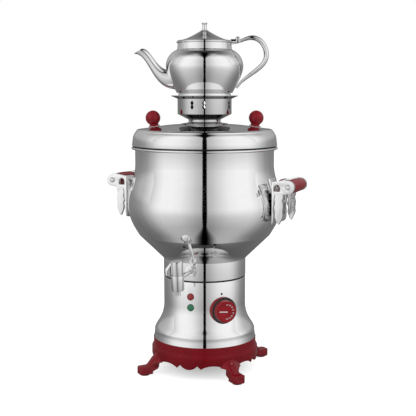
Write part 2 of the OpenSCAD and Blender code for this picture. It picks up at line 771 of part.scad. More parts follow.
module tap_pipe() {
    color("#d4d6d8") difference() {
        translate([0, 0, tap_z]) bar(pipe_r, -tap_reach + plug_r, -neck_r + 9, "y");
        translate([0, 0, tap_z]) bar(bore_r, -tap_reach, -neck_r + 12, "y");
        place_tap() bar(barrel_r + 0.02, barrel_bottom, barrel_top);
    }
}

module tap_barrel() {
    color("#d4d6d8") difference() {
        place_tap() {
            rotate_extrude($fn = fine) polygon([[bore_r, barrel_bottom - nozzle_len],
                [nozzle_r, barrel_bottom - nozzle_len], [nozzle_r, barrel_bottom], [barrel_r - 1,
                    barrel_bottom],
                [barrel_r, barrel_bottom + 1], [barrel_r, barrel_top - 0.6], [barrel_r - 0.6, barrel_top],
                [plug_r, barrel_top], [plug_r, plug_bottom - 0.3], [bore_r, plug_bottom - 0.3]]);
        }
        translate([0, 0, tap_z]) bar(bore_r, -tap_reach + 3, -tap_reach + barrel_r + 2, "y");
    }
}

// The key: a bored plug under a cap with a wing lever
module tap_key() {
    key_plug = plug_r - run_gap;
    color("#d4d6d8") place_tap() rotate([0, 0, lever_angle]) {
        difference() {
            rotate_extrude($fn = fine) polygon([[0, plug_bottom], [key_plug, plug_bottom],
                [key_plug, plug_bottom + 2.6], [key_plug - 1.2, plug_bottom + 2.6],
                [key_plug - 1.2, plug_bottom + 5.4], [key_plug, plug_bottom + 5.4],
                [key_plug, -6.4], [key_plug, barrel_top + lift_gap], [barrel_r - 0.4, barrel_top + lift_gap],
                [barrel_r - 0.4, cap_top - 1.4], [barrel_r - 1.8, cap_top], [0, cap_top]]);
            bar(bore_r, plug_bottom - 1, 1);
            rotate([0, 0, -lever_angle]) bar(bore_r, 0, barrel_r, "x");
        }
        difference() {
            hull() {
                translate([barrel_r - 3, 0, barrel_top + lift_gap + 0.2])
                    cylinder(r = 3, h = cap_top - barrel_top - 2.8, $fn = 32);
                translate([lever_reach - 4.6, 0, barrel_top + lift_gap + 0.2]) cylinder(r = 4.6, h = 8.5,
                    $fn = 32);
                translate([lever_reach - 4.6, 0, barrel_top + lift_gap + 9.6]) sphere(r = 4.2, $fn = 32);
            }
            bar(barrel_r - 1, 0, cap_top);
        }
    }
}

module tap_seals() {
    color("#1a1a1a") place_tap() translate([0, 0, plug_bottom + 2.65])
        tube(plug_r - run_gap, plug_r - run_gap - 1.15, 0, 2.7);
}

// The side handles

// Draws its children for the outer face of both brackets of both handles
module bracket_places() {
    for (h = [0, 1], s = [-1, 1]) rotate([0, 0, handle_turn + 180 * h]) mirror([0, s < 0 ? 1 : 0,
        0]) children();
}

// A smooth closed outline through hand-set points
function spline(p, n) = let (m = len(p)) [for (i = [0:m - 1], k = [0:n - 1])
    let (a = p[(i + m - 1) % m], b = p[i], c = p[(i + 1) % m], d = p[(i + 2) % m], t = k / n)
    0.5 * (2 * b + (c - a) * t + (2 * a - 5 * b + 4 * c - d) * t * t + (3 * b - a - 3 * c + d) * t * t * t)];

// Outlines are in the bracket's plane, from the grip's axis: first outward, then up
arm_outline = [[-3, 11.1], [-12, 11.3], [-20, 9.8], [-27, 8.6], [-30, 9], [-33, 6], [-35, -3], [-38, -12],
    [-42, -16], [-42, -33], [-37, -40], [-34.4, -50], [-33.4, -61], [-30.4, -68], [-27, -62], [-26, -50],
    [-27, -40], [-25.6, -30], [-25, -20], [-22, -13], [-12, -13], [-8, -12.4], [-3, -11]];
front_leaf = [[-22, -11], [-10.5, -11], [-8.6, -18], [-10.4, -24], [-8.8, -32], [-9.8, -42], [-9.4, -51],
    [-13.2, -60], [-16.5, -65.5], [-19.8, -60], [-22.8, -51], [-22.2, -43], [-24, -36], [-22.4, -29],
    [-23.8, -22], [-22.6, -16]];
// The outlines are drawn for a wall 32 away from the grip, and stretch with it
arm_k = (grip_reach - belly_r) / 32;
function stretched(line) = [for (p = spline(line, 3)) [arm_k * p[0], p[1]]];
arch_r = 6.15;

// In plan a bracket is square to the grip at its eye, then slants in to the middle of the handle's seat
module bracket_plan() {
    polygon([[grip_reach + 14, bracket_in], [grip_reach + 14, bracket_out],
        [grip_reach - 28.6 * arm_k, bracket_out], [belly_r - 10.3, half_gap], [belly_r - 4, half_gap],
        [grip_reach - 26.4 * arm_k, bracket_in]]);
}

module bracket() {
    color("#dcdcdc") difference() {
        union() {
            intersection() {
                translate([grip_reach, 0, grip_z]) rotate([90, 0, 0]) mirror([0, 0, 1])
                    linear_extrude(bracket_out + 1) difference() {
                        union() {
                            circle(r = 11.6, $fn = 64);
                            polygon(stretched(arm_outline));
                            polygon(stretched(front_leaf));
                        }
                        translate([-19.75 * arm_k, -2]) circle(r = arch_r * min(1, arm_k), $fn = 48);
                        translate([(-19.75 - arch_r) * arm_k, -8]) square([2 * arch_r * arm_k, 6]);
                        circle(r = grip_rod_r + 0.05, $fn = 48);
                    }
                translate([0, 0, grip_z - 75]) linear_extrude(95) bracket_plan();
            }
            intersection() {
                filled(bowl_line, flange_t);
                translate([belly_r - 20, half_gap, grip_z - 60]) cube([30, 16 - half_gap, 71]);
            }
        }
        filled(bowl_line, seat_gap);
        for (dz = bracket_screw_dz) translate([0, bracket_screw_y, grip_z + dz])
            bar(1.95, 100, wall_at(dz, 0) + 3.4, "x");
    }
}

module bracket_right_front() { rotate([0, 0, handle_turn]) mirror([0, 1, 0]) bracket(); }
module bracket_right_back() { rotate([0, 0, handle_turn]) bracket(); }
module bracket_left_front() { rotate([0, 0, handle_turn + 180]) bracket(); }
module bracket_left_back() { rotate([0, 0, handle_turn + 180]) mirror([0, 1, 0]) bracket(); }

module grip() {
    color("#8a1724") translate([grip_reach, 0, grip_z]) rotate([-90, 0, 0]) difference() {
        rotate_extrude($fn = fine) polygon([[0, -grip_half], [grip_r - 2, -grip_half], [grip_r - 0.6,
            -grip_half + 0.8],
            [grip_r, -grip_half + 3], [grip_r, grip_half - 3], [grip_r - 0.6, grip_half - 0.8],
            [grip_r - 2, grip_half], [0, grip_half]]);
        bar(grip_rod_r + 0.1, -grip_half - 1, grip_half + 1);
    }
}

module grip_right() { rotate([0, 0, handle_turn]) grip(); }
module grip_left() { rotate([0, 0, handle_turn + 180]) grip(); }

module grip_rods() {
    color("silver") for (h = [0, 1]) rotate([0, 0, handle_turn + 180 * h]) translate([grip_reach, 0, grip_z])
        rotate([-90, 0, 0]) {
            bar(grip_rod_r, -bracket_out - 0.02, bracket_out + 0.02);
            for (s = [0, 1]) mirror([0, 0, s]) translate([0, 0, bracket_out + 0.02]) rotate_extrude($fn = 48)
                polygon([[0, 0], [4.8, 0], [4.8, 0.9], [3.6, 2], [0, 2.4]]);
        }
}

// Where a surface of the bowl's wall, some way inside its outer face, meets a bracket screw's axis
function wall_at(dz, inside) = let (rise = max(0, grip_z + dz - z_belly), r = collar_r - inside
    + (belly_r - collar_r) * (1 + cos(180 * rise / shoulder_h)) / 2) sqrt(r * r - pow(bracket_screw_y, 2));

module bracket_screws() {
    color("silver") bracket_places() for (dz = bracket_screw_dz)
        translate([0, bracket_screw_y, grip_z + dz]) {
            bar(1.9, wall_at(dz, sheet) - 4, wall_at(dz, 0) + 3, "x");
            intersection() {
                bar(4, wall_at(dz, sheet) - 4.2, wall_at(dz, sheet) + 1, "x");
                translate([0, -bracket_screw_y, -grip_z - dz]) filled(inner_line(bowl_line, sheet),
                    -seat_gap);
            }
        }
}

// The lid and its crown

module lid_shell() {
    top = concat(lid_line, tail(curve([[lid_top_r, z_lid_top], [lid_top_r - 20, z_lid_top + 2],
        [crown_foot_r + 30, z_dome], [crown_foot_r + 3, z_dome]], 8)), [[lid_hole_r, z_dome]]);
    under = [for (i = [0:len(top) - 1]) let (p = top[i], a = top[max(i - 1, 0)], b = top[min(i + 1,
        len(top) - 1)],
        d = (b - a) / norm(b - a)) i == 0 ? [p[0] - sheet, p[1]] : p - sheet * [d[1], -d[0]]];
    spigot_r = collar_r - sheet - 1.2;
    color("#c8cacc") difference() {
        union() {
            rotate_extrude($fn = fine) polygon(concat(top, reversed(under)));
            rotate_extrude($fn = fine) polygon([[lid_r - sheet / 2, z_lid], [lid_r - sheet / 2,
                z_lid + sheet],
                [spigot_r - sheet, z_lid + sheet], [spigot_r - sheet, z_rim_top - 9], [spigot_r,
                    z_rim_top - 9],
                [spigot_r, z_lid]]);
        }
        for (s = [-1, 1]) lid_place(s) bar(2.6, -8, 8);
    }
}

lid_hole_r = crown_waist_r - 3;
knob_lean = 8.5;
knob_seat_z = z_lid_top + 0.5 * lid_dome_h;
module lid_place(s) {
    rotate([0, 0, lid_turn]) translate([s * (lid_top_r - knob_inset), 0, knob_seat_z]) rotate([0,
        s * knob_lean, 0]) children();
}

module lid_seal() {
    color("#161616") translate([0, 0, z_seal]) tube(lid_r - 1.6, collar_r - sheet - 1.1, 0, seal_t);
}

module lid_knob(s) {
    ball_z = 0.98 * knob_ball_r + 3;
    neck = 0.6 * knob_ball_r;
    start = -asin(sqrt(1 - pow(neck / knob_ball_r, 2)));
    color("#7a1420") lid_place(s) difference() {
        rotate_extrude($fn = fine) polygon(concat([[0, 0.7], [0.8 * knob_ball_r, 0.7], [0.78 * knob_ball_r,
            1.8],
            [neck, 3.4]],
            [for (i = [0:12]) let (a = start + (90 - start) * i / 12)
                [knob_ball_r * cos(a), ball_z + knob_ball_r * sin(a)]]));
        bar(2.3, 0, 12);
    }
}

module lid_knob_left() { lid_knob(-1); }
module lid_knob_right() { lid_knob(1); }

module lid_knob_screws() {
    color("silver") for (s = [-1, 1]) lid_place(s) translate([0, 0, -1.3]) rotate([180, 0, 0])
        screw(2.25, 5, 3, 12);
}

vent_outline = [[0, -8.2], [3.1, -3.7], [1.3, 0], [3.1, 3.8], [0, 8.2], [-3.1, 3.8], [-1.3, 0], [-3.1, -3.7]];
vent_pitch = 12.7;

module crown_drum() {
    waist_z = z_crown + crown_waist_h;
    line = [[crown_foot_r, z_crown], [crown_foot_r, z_crown + 1], [crown_waist_r + 3, z_crown + 3],
        [crown_waist_r, z_crown + 5], [crown_waist_r, waist_z], [drum_r - 0.6, z_drum], [drum_r, z_drum + 1],
        [drum_r, z_tray]];
    inner = [[drum_r - sheet, z_tray], [drum_r - sheet, z_drum + 1.6], [crown_waist_r - sheet, waist_z + 0.6],
        [crown_waist_r - sheet, z_crown + sheet], [lid_hole_r - 1.6, z_crown + sheet],
        [lid_hole_r - 1.6, z_dome - 4], [lid_hole_r - 0.6, z_dome - 4], [lid_hole_r - 0.6, z_crown]];
    color("#c8cacc") difference() {
        rotate_extrude($fn = fine) polygon(concat(line, inner));
        for (q = [0:vent_pairs - 1], s = [-1, 1])
            on_wall(vent_turn + q * 360 / vent_pairs + s * vent_pitch, z_drum + 0.6 * drum_h)
                translate([0, 0, drum_r - 6]) linear_extrude(12) polygon(vent_outline);
    }
}

module crown_tray() {
    color("#c8cacc") rotate_extrude($fn = fine) polygon([[drum_r - sheet, z_tray], [drum_r + 0.4, z_tray],
        [tray_r, z_tray + tray_h - 0.6], [tray_r, z_tray + tray_h + 0.4], [tray_r - 1.4, z_tray + tray_h],
        [drum_r + 0.9, z_tray + 1.4], [drum_r + 0.3, z_tray + 0.5], [drum_r - sheet, z_tray + 0.5]]);
}

module steam_plate() {
    color("#b8babc") difference() {
        rotate_extrude($fn = fine) polygon([[0, z_tray + seat_t - 0.7], [drum_r - sheet - 0.4,
            z_tray + seat_t - 0.7],
            [drum_r - sheet - 0.4, z_tray + 0.5], [drum_r, z_tray + 0.55], [drum_r, z_tray + seat_t],
            [0, z_tray + seat_t]]);
        bar(4, z_tray - 1, z_tray + 3);
        for (ring = [1:3], k = [0:6 * ring - 1]) rotate([0, 0, 60 * k / ring]) translate([12.5 * ring, 0, 0])
            bar(2.6, z_tray - 1, z_tray + 3);
    }
}

// The teapot, drawn with its spout towards -X and turned as a whole

spout_top = [[-62, z_pot + 50], [-88, z_pot + 49.8], [-94, z_pot + 87.8], [-112, z_pot + 87.8]];
spout_under = [[-50, z_pot + 15.5], [-97, z_pot + 14.5], [-98, z_pot + 80], [-126.6, z_pot + 78.3]];
spout_rings = 14;
spout_sides = 20;

function spout_ring(t, w) = let (a = bez(spout_top, t), b = bez(spout_under, t), c = (a + b) / 2,
    u = (a - b) / norm(a - b), h = norm(a - b) / 2, side = bez([15, 8.4, 6.6, 5.4], t))
    [for (j = [0:spout_sides - 1]) let (q = 360 * j / spout_sides, x = (h - w) * cos(q))
        [c[0] + u[0] * x, (side - w) * sin(q), c[1] + u[1] * x]];

module spout_hollow(w, last) {
    loft([for (i = [0:spout_rings]) spout_ring(i / spout_rings * last, w)]);
}

module pot_filled(gap) { filled(pot_line, gap); }

module teapot_spout() {
    color("#c8cacc") rotate([0, 0, teapot_turn]) difference() {
        spout_hollow(0, 1);
        pot_filled(seat_gap);
        spout_hollow(pot_wall, 1.03);
    }
}

module teapot_body() {
    outer = pot_line;
    inner = inner_line(pot_line, pot_wall);
    rim = [[pot_neck_r, z_pot_rim], [pot_rim_r, z_pot_rim + 0.6], [pot_rim_r, z_pot_rim + pot_rim_h - 0.5],
        [pot_rim_r - 0.6, z_pot_rim + pot_rim_h], [pot_neck_r - pot_wall, z_pot_rim + pot_rim_h]];
    body_in = [for (p = inner) if (p[1] > z_pot_base + 0.6) p];
    floor_z = z_pot_base;
    color("#c8cacc") rotate([0, 0, teapot_turn]) difference() {
        rotate_extrude($fn = fine) polygon(concat(outer, rim, reversed(body_in),
            [[pot_base_r - 1, floor_z + pot_wall], [0, floor_z + pot_wall], [0, floor_z],
            [pot_foot_r - 3.4, floor_z], [pot_foot_r - 2.4 - pot_wall, z_pot + pot_foot_h - 0.4],
            [pot_foot_r - pot_wall - 0.3, z_pot]]));
        for (row = [-2:2], k = [-1:1]) translate([0, k * 5.2 + (row % 2 == 0 ? 0 : 2.6),
            z_pot + 31 + row * 4.6])
            bar(1.5, -pot_belly_r - 2, -40, "x");
    }
}

// The handle follows one line and swells from thin roots
handle_line = concat(
    curve([[pot_neck_r - 2, handle_z - 5.2], [62, handle_z - 4.8], [72, handle_z + 5.3],
        [86, handle_z + 4.9]], 9),
    tail(curve([[86, handle_z + 4.9], [101, handle_z + 4.2], [110.9, handle_z - 11], [110.9,
        handle_z - 25]], 8)),
    tail(curve([[110.9, handle_z - 25], [110.9, handle_z - 46], [86, handle_z - 55], [66, handle_z - 73.5]],
        12)),
    [[57, handle_z - 84]]);
handle_sides = 16;

function handle_ring(i) = let (n = len(handle_line) - 1, t = i / n, p = handle_line[i],
    d = handle_line[min(i + 1, n)] - handle_line[max(i - 1, 0)], u = [d[1], -d[0]] / norm(d),
    swell = pow(sin(180 * min(max(t, 0.02), 0.97)), 0.45),
    deep = 1.1 + 3.5 * swell * min(1, 0.42 + 1.9 * t), wide = 3.6 + 2.9 * swell)
    [for (j = [0:handle_sides - 1]) let (q = 360 * j / handle_sides)
        [p[0] + u[0] * deep * cos(q), wide * sin(q), p[1] + u[1] * deep * cos(q)]];

module teapot_handle() {
    color("#c8cacc") rotate([0, 0, teapot_turn]) {
        difference() {
            loft([for (i = [0:len(handle_line) - 1]) handle_ring(i)]);
            pot_filled(seat_gap);
            filled([[pot_rim_r, z_pot_rim - 1], [pot_rim_r, z_pot_rim + 5]], 0.2);
            translate([hinge_x, 0, hinge_z]) bar(ball_r + 0.6, -ear_in - 0.6, ear_in + 0.6, "y");
        }
        for (s = [-1, 1]) difference() {
            translate([hinge_x, s * (ear_in + ear_t / 2) - ear_t / 2, hinge_z]) rotate([-90, 0, 0])
                linear_extrude(ear_t) difference() {
                    union() {
                        circle(r = 2.6, $fn = 40);
                        polygon([[-2.6, 0], [2.6, 0], [6, 7], [-6, 7]]);
                    }
                    circle(r = pin_r + 0.02, $fn = 32);
                }
            filled([[pot_rim_r, z_pot_rim - 20], [pot_rim_r, z_pot_rim + 10]], 0.2);
        }
    }
}

module hinge_pin() {
    color("silver") rotate([0, 0, teapot_turn]) translate([hinge_x, 0, hinge_z])
        bar(pin_r, -ear_in - ear_t - 0.8, ear_in + ear_t + 0.8, "y");
}

module teapot_lid() {
    r0 = pot_rim_r - 1.6;
    z0 = z_pot_lid;
    lip_r = pot_neck_r - pot_wall - 0.9;
    line = concat([[r0, z0], [r0, z0 + 0.6], [r0 - 1.2, z0 + 1.3]],
        tail(curve([[r0 - 1.2, z0 + 1.3], [0.72 * r0, z0 + 1.8], [0.4 * r0, z0 + 0.55 * pot_lid_h],
            [5, z0 + pot_lid_h]], 12)));
    color("#c8cacc") rotate([0, 0, teapot_turn]) {
        difference() {
            union() {
                rotate_extrude($fn = fine) polygon(concat(line, [[0, z0 + pot_lid_h]], [[0,
                    z0 + pot_lid_h - 1.1]],
                    reversed([for (p = line) if (p[1] > z0 + 1.25 && p[0] < lip_r - 1) [p[0] - 0.3,
                        p[1] - 0.85]]),
                    [[lip_r - 1, z0], [lip_r - 1, z0 - 5], [lip_r, z0 - 5], [lip_r, z0]]));
                translate([r0 - 2, -3.6, z0]) cube([hinge_x - ball_r - r0 + 2.8, 7.2, 3.6]);
            }
            translate([hinge_x, 0, hinge_z]) sphere(r = ball_r + 0.02, $fn = 64);
        }
    }
}

module thumb_ball() {
    color("#c0c2c4") rotate([0, 0, teapot_turn]) translate([hinge_x, 0, hinge_z]) difference() {
        sphere(r = ball_r, $fn = 64);
        bar(pin_r + run_gap, -ball_r - 1, ball_r + 1, "y");
    }
}

// A small tulip finial: a stem with petals that open at the top
module teapot_finial() {
    petals = 6;
    color("#c8cacc") rotate([0, 0, teapot_turn]) translate([0, 0, z_finial]) difference() {
        rotate_extrude($fn = 64) polygon([[0, 0], [5.2, 0], [5, 1.4], [4.1, 3.2], [3.9, 0.5 * finial_h],
            [4.5, 0.74 * finial_h], [6, finial_h], [4.9, finial_h], [2.4, 0.8 * finial_h], [0,
                0.78 * finial_h]]);
        for (k = [0:petals - 1]) rotate([0, 0, 360 * k / petals + 30]) translate([2.6, -1, 0.8 * finial_h])
            cube([5, 2, finial_h]);
    }
}

base_ring();
leg_front_left();
leg_front_right();
leg_back_left();
leg_back_right();
foot_pads();
base_screws();
bottom_plate();
bell_housing();
seam_gasket();
mains_inlet();
inlet_pins();
inlet_screws();
terminal_block();
wiring();
red_lamp_lens();
green_lamp_lens();
lamp_bodies();
thermostat_body();
thermostat_nut();
thermostat_shaft();
dial_bezel();
dial_knob();
thermostat_bulb();
heat_shield();
clamp_rod();
boiler_neck();
boiler_cone();
boiler_bowl();
heater_element();
heater_glands();
tap_flange();
tap_pipe();
tap_barrel();
tap_key();
tap_seals();
bracket_left_front();
bracket_left_back();
bracket_right_front();
bracket_right_back();
grip_left();
grip_right();
grip_rods();
bracket_screws();
lid_shell();
lid_seal();
lid_knob_left();
lid_knob_right();
lid_knob_screws();
crown_drum();
crown_tray();
steam_plate();
teapot_body();
teapot_spout();
teapot_handle();
hinge_pin();
teapot_lid();
thumb_ball();
teapot_finial();
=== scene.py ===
"""Samovar looks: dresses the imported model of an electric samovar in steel, crimson plastic and chrome."""

import math

import bmesh
import bpy
from bpy.props import (BoolProperty, FloatProperty, FloatVectorProperty, IntProperty, PointerProperty)
from mathutils import Matrix, Vector


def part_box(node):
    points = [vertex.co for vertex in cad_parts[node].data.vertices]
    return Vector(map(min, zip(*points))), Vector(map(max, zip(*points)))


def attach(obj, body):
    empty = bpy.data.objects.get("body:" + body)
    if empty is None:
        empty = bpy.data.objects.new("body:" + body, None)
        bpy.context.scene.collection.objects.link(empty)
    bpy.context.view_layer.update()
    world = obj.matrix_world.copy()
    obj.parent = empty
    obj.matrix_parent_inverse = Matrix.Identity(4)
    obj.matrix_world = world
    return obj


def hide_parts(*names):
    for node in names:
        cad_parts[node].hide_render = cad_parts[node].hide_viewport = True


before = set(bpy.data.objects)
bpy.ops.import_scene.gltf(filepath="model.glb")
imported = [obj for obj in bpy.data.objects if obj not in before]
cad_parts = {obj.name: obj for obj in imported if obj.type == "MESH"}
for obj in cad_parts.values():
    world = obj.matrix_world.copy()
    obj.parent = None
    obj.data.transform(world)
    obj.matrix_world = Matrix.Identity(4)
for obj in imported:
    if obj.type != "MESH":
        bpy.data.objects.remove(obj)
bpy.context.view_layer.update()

bl_info = {
    "name": "Samovar looks",
    "version": (1, 0, 0),
    "blender": (4, 5, 0),
    "location": "View3D > Sidebar > Samovar",
    "description": "Builds the visible surfaces, finishes, floor, light and camera of an electric samovar",
    "category": "Add Mesh",
}

BOX = {name: [list(c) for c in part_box(name)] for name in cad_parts}
QUARTER_X = Matrix.Rotation(math.pi / 2, 4, "X")
QUARTER_Y = Matrix.Rotation(math.pi / 2, 4, "Y")
QUARTER_Z = Matrix.Rotation(math.pi / 2, 4, "Z")


def top(piece):
    return BOX[piece][1][2]


def low(piece):
    return BOX[piece][0][2]


def middle(piece):
    """Height of a piece's middle."""
    return (low(piece) + top(piece)) / 2


def above(start):
    """Turns millimetres above a start into a height in metres."""
    return lambda mm: start + mm / 1000


def reach(piece):
    """Radius of a round piece about the body's axis."""
    lo, hi = BOX[piece]
    return (hi[0] - lo[0]) / 2


def length(name, description, default):
    return FloatProperty(name=name, description=description, default=default, unit="LENGTH", precision=5)


def bearing(name, description, degrees):
    return FloatProperty(name=name, description=description, default=math.radians(degrees), unit="ROTATION",
                         subtype="ANGLE")


def tint(name, description, default):
    return FloatVectorProperty(name=name, description=description, default=default, subtype="COLOR", size=3,
                               min=0.0, max=1.0)


def share(name, description, default):
    return FloatProperty(name=name, description=description, default=default, subtype="FACTOR", min=0.0,
                         max=1.0)


class SamovarFinishes(bpy.types.PropertyGroup):
    steel: tint("Steel", "Colour of the polished steel", (0.90, 0.90, 0.905))
    steel_roughness: share("Steel roughness", "Blur of the reflections in the polished steel", 0.055)
    chrome: tint("Chrome", "Colour of the bright castings", (0.93, 0.93, 0.935))
    chrome_roughness: share("Chrome roughness", "Blur of the reflections in the castings", 0.16)
    crimson: tint("Crimson", "Colour of the red plastic", (0.24, 0.0052, 0.0123))
    crimson_roughness: share("Crimson roughness", "Gloss of the red plastic", 0.24)
    grip_crimson: tint("Grip crimson", "Colour of the grips and knobs", (0.31, 0.009, 0.019))
    rubber: tint("Rubber", "Colour of seals and pads", (0.012, 0.012, 0.013))
    wall: length("Sheet", "Thickness of the steel sheet", 0.001)


class SamovarBase(bpy.types.PropertyGroup):
    ring_radius: length("Ring radius", "Outer radius of the upper band", 0.0948)
    band_radius: length("Band radius", "Outer radius of the lower band", 0.098)
    wall: length("Wall", "Wall of the ring", 0.003)
    top_height: length("Top", "Height of the ring's top edge", 0.059)
    step_height: length("Step", "Height where the lower band steps in", 0.045)
    lobe: length("Lobe", "Half-width of the front lobe", 0.0158)
    turn: bearing("Turn", "Turn of the base about the axis", 2.2)


class SamovarBoiler(bpy.types.PropertyGroup):
    neck_radius: length("Neck radius", "Radius of the straight neck", 0.0753)
    belly_radius: length("Belly radius", "Radius of the bowl's belly", reach("boiler_bowl"))
    foot_radius: length("Foot radius", "Radius at the foot of the bowl", 0.126)
    collar_radius: length("Collar radius", "Radius of the bowl's collar", 0.126)
    rim_radius: length("Rim radius", "Outer radius of the rolled rim", 0.1324)
    rim_height: length("Rim height", "Height of the rolled rim", 0.0045)
    collar_height: length("Collar height", "Height of the straight collar", 0.0255)
    shoulder_height: length("Shoulder height", "Height from the belly to the collar", 0.0747)
    segments: IntProperty(name="Segments", description="Steps round the axis", default=180, min=48, max=256)


class SamovarLid(bpy.types.PropertyGroup):
    knob_radius: length("Knob radius", "Radius of the ball knobs", 0.0134)
    knob_place: length("Knob place", "Distance of the knobs from the axis", 0.0910)
    knob_lean: bearing("Knob lean", "How far the knobs lean outwards", 8.5)


class SamovarCrown(bpy.types.PropertyGroup):
    drum_radius: length("Drum radius", "Outer radius of the drum", 0.0488)
    waist_radius: length("Waist radius", "Outer radius of the waist", 0.029)
    tray_radius: length("Tray radius", "Outer radius of the flared tray", 0.0605)
    vent_pairs: IntProperty(name="Vent pairs", description="Pairs of vents round the drum", default=4,
                            min=2, max=6)
    vent_turn: bearing("Vent turn", "Turn of the vents about the axis", 5.3)
    vent_pitch: bearing("Vent pitch", "Angle of a vent from the middle of its pair", 12.7)


class SamovarTeapot(bpy.types.PropertyGroup):
    belly_radius: length("Belly radius", "Radius of the teapot's belly", 0.0695)
    neck_radius: length("Neck radius", "Radius of the teapot's neck", 0.048)
    rim_radius: length("Rim radius", "Outer radius of the teapot's rim", 0.0504)
    wall: length("Wall", "Thickness of the teapot's sheet", 0.0009)
    facing: bearing("Facing", "Turn of the teapot about the axis", 19.5)
    petals: IntProperty(name="Petals", description="Petals of the finial", default=6, min=3, max=12)


class SamovarHandles(bpy.types.PropertyGroup):
    grip_radius: length("Grip radius", "Radius of the grips", 0.012)
    grip_length: length("Grip length", "Length of the grips", 0.062)
    grip_reach: length("Grip reach", "Distance of the grips from the axis", 0.172)
    grip_height: length("Grip height", "Height of the grips", 0.345)
    turn: bearing("Turn", "Turn of the handles about the axis", -4.5)


class SamovarTap(bpy.types.PropertyGroup):
    height: length("Tap height", "Height of the pipe", 0.1926)
    reach: length("Tap reach", "Distance of the barrel from the axis", 0.1385)
    lean: bearing("Tap lean", "How far the barrel leans outwards", 6)


class SamovarDial(bpy.types.PropertyGroup):
    turn_from_tap: bearing("Turn", "Angle between the tap and the dial", 44.5)
    height: length("Height", "Height of the dial's centre", 0.1223)
    radius: length("Radius", "Radius of the knob", 0.0192)
    number_size: length("Number size", "Height of the numbers", 0.0040)
    show_numbers: BoolProperty(name="Numbers", description="Print plain numbers on the knob", default=True)


class SamovarStage(bpy.types.PropertyGroup):
    camera_turn: bearing("Camera turn", "Angle of the camera from the tap's side", 19.5)
    camera_distance: length("Camera distance", "Level distance of the camera from the axis", 1.6004)
    camera_height: length("Camera height", "Height of the camera above the table", 0.50215)
    camera_tilt: bearing("Camera tilt", "How far the camera looks down", 7.317)
    camera_pan: bearing("Camera pan", "How far the camera looks past the axis", 0.221)
    focal_length: FloatProperty(name="Focal length", description="Lens of the camera in millimetres",
                                default=76.154)
    lamp_power: FloatProperty(name="Lamp power", description="Power of each soft lamp", default=5.0,
                              unit="POWER")
    floor: tint("Floor", "Colour of the floor", (0.56, 0.56, 0.56))


GROUPS = {
    "finishes": SamovarFinishes, "base": SamovarBase, "boiler": SamovarBoiler, "lid": SamovarLid,
    "crown": SamovarCrown, "teapot": SamovarTeapot, "handles": SamovarHandles, "tap": SamovarTap,
    "dial": SamovarDial, "stage": SamovarStage,
}


class SamovarSettings(bpy.types.PropertyGroup):
    finishes: PointerProperty(type=SamovarFinishes)
    base: PointerProperty(type=SamovarBase)
    boiler: PointerProperty(type=SamovarBoiler)
    lid: PointerProperty(type=SamovarLid)
    crown: PointerProperty(type=SamovarCrown)
    teapot: PointerProperty(type=SamovarTeapot)
    handles: PointerProperty(type=SamovarHandles)
    tap: PointerProperty(type=SamovarTap)
    dial: PointerProperty(type=SamovarDial)
    stage: PointerProperty(type=SamovarStage)


# Mesh helpers

def bezier(p, steps):
    """Points on a cubic curve, first and last control point included."""
    out = []
    for i in range(steps + 1):
        t = i / steps
        k = ((1 - t) ** 3, 3 * t * (1 - t) ** 2, 3 * t * t * (1 - t), t ** 3)
        out.append(tuple(sum(w * q[a] for w, q in zip(k, p)) for a in range(len(p[0]))))
    return out


def bead(x, z, r, start, end, steps=6):
    """An arc in the profile plane, with its angles in degrees."""
    out = []
    for i in range(steps + 1):
        a = math.radians(start + (end - start) * i / steps)
        out.append((x + r * math.cos(a), z + r * math.sin(a)))
    return out


def inner_line(line, wall, level=True):
    """The inner line of a sheet whose outer line runs upwards, with level ends or square ones."""
    out = []
    last = len(line) - 1
    for i, p in enumerate(line):
        a, b = line[max(i - 1, 0)], line[min(i + 1, last)]
        d = (b[0] - a[0], b[1] - a[1])
        k = math.hypot(*d)
        if level and i in (0, last):
            out.append((p[0] - wall * k / max(abs(d[1]), 1e-6), p[1]))
        else:
            out.append((p[0] - wall * d[1] / k, p[1] + wall * d[0] / k))
    return out


def sheet_profile(line, wall):
    return line + inner_line(line, wall)[::-1]


def oval(centre, across, deep, wide, count):
    """Points round a centre in the XZ plane: deep along a direction in that plane, and wide along Y."""
    out = []
    for j in range(count):
        q = 2 * math.pi * j / count
        x = deep * math.cos(q)
        out.append((centre[0] + across[0] * x, wide * math.sin(q), centre[1] + across[1] * x))
    return out


def placed(name, data):
    """A new object in the scene."""
    obj = bpy.data.objects.new(name, data)
    bpy.context.scene.collection.objects.link(obj)
    return obj


def smoothed(obj, sharp):
    """Smooth shading, with edges above an angle in degrees kept sharp."""
    obj.data.shade_smooth()
    obj.data.set_sharp_from_angle(angle=math.radians(sharp))
    return obj


def finish_mesh(name, bm, sharp=40.0):
    bmesh.ops.remove_doubles(bm, verts=bm.verts, dist=1e-7)
    bmesh.ops.recalc_face_normals(bm, faces=bm.faces)
    mesh = bpy.data.meshes.new(name)
    bm.to_mesh(mesh)
    bm.free()
    return smoothed(placed(name, mesh), sharp)


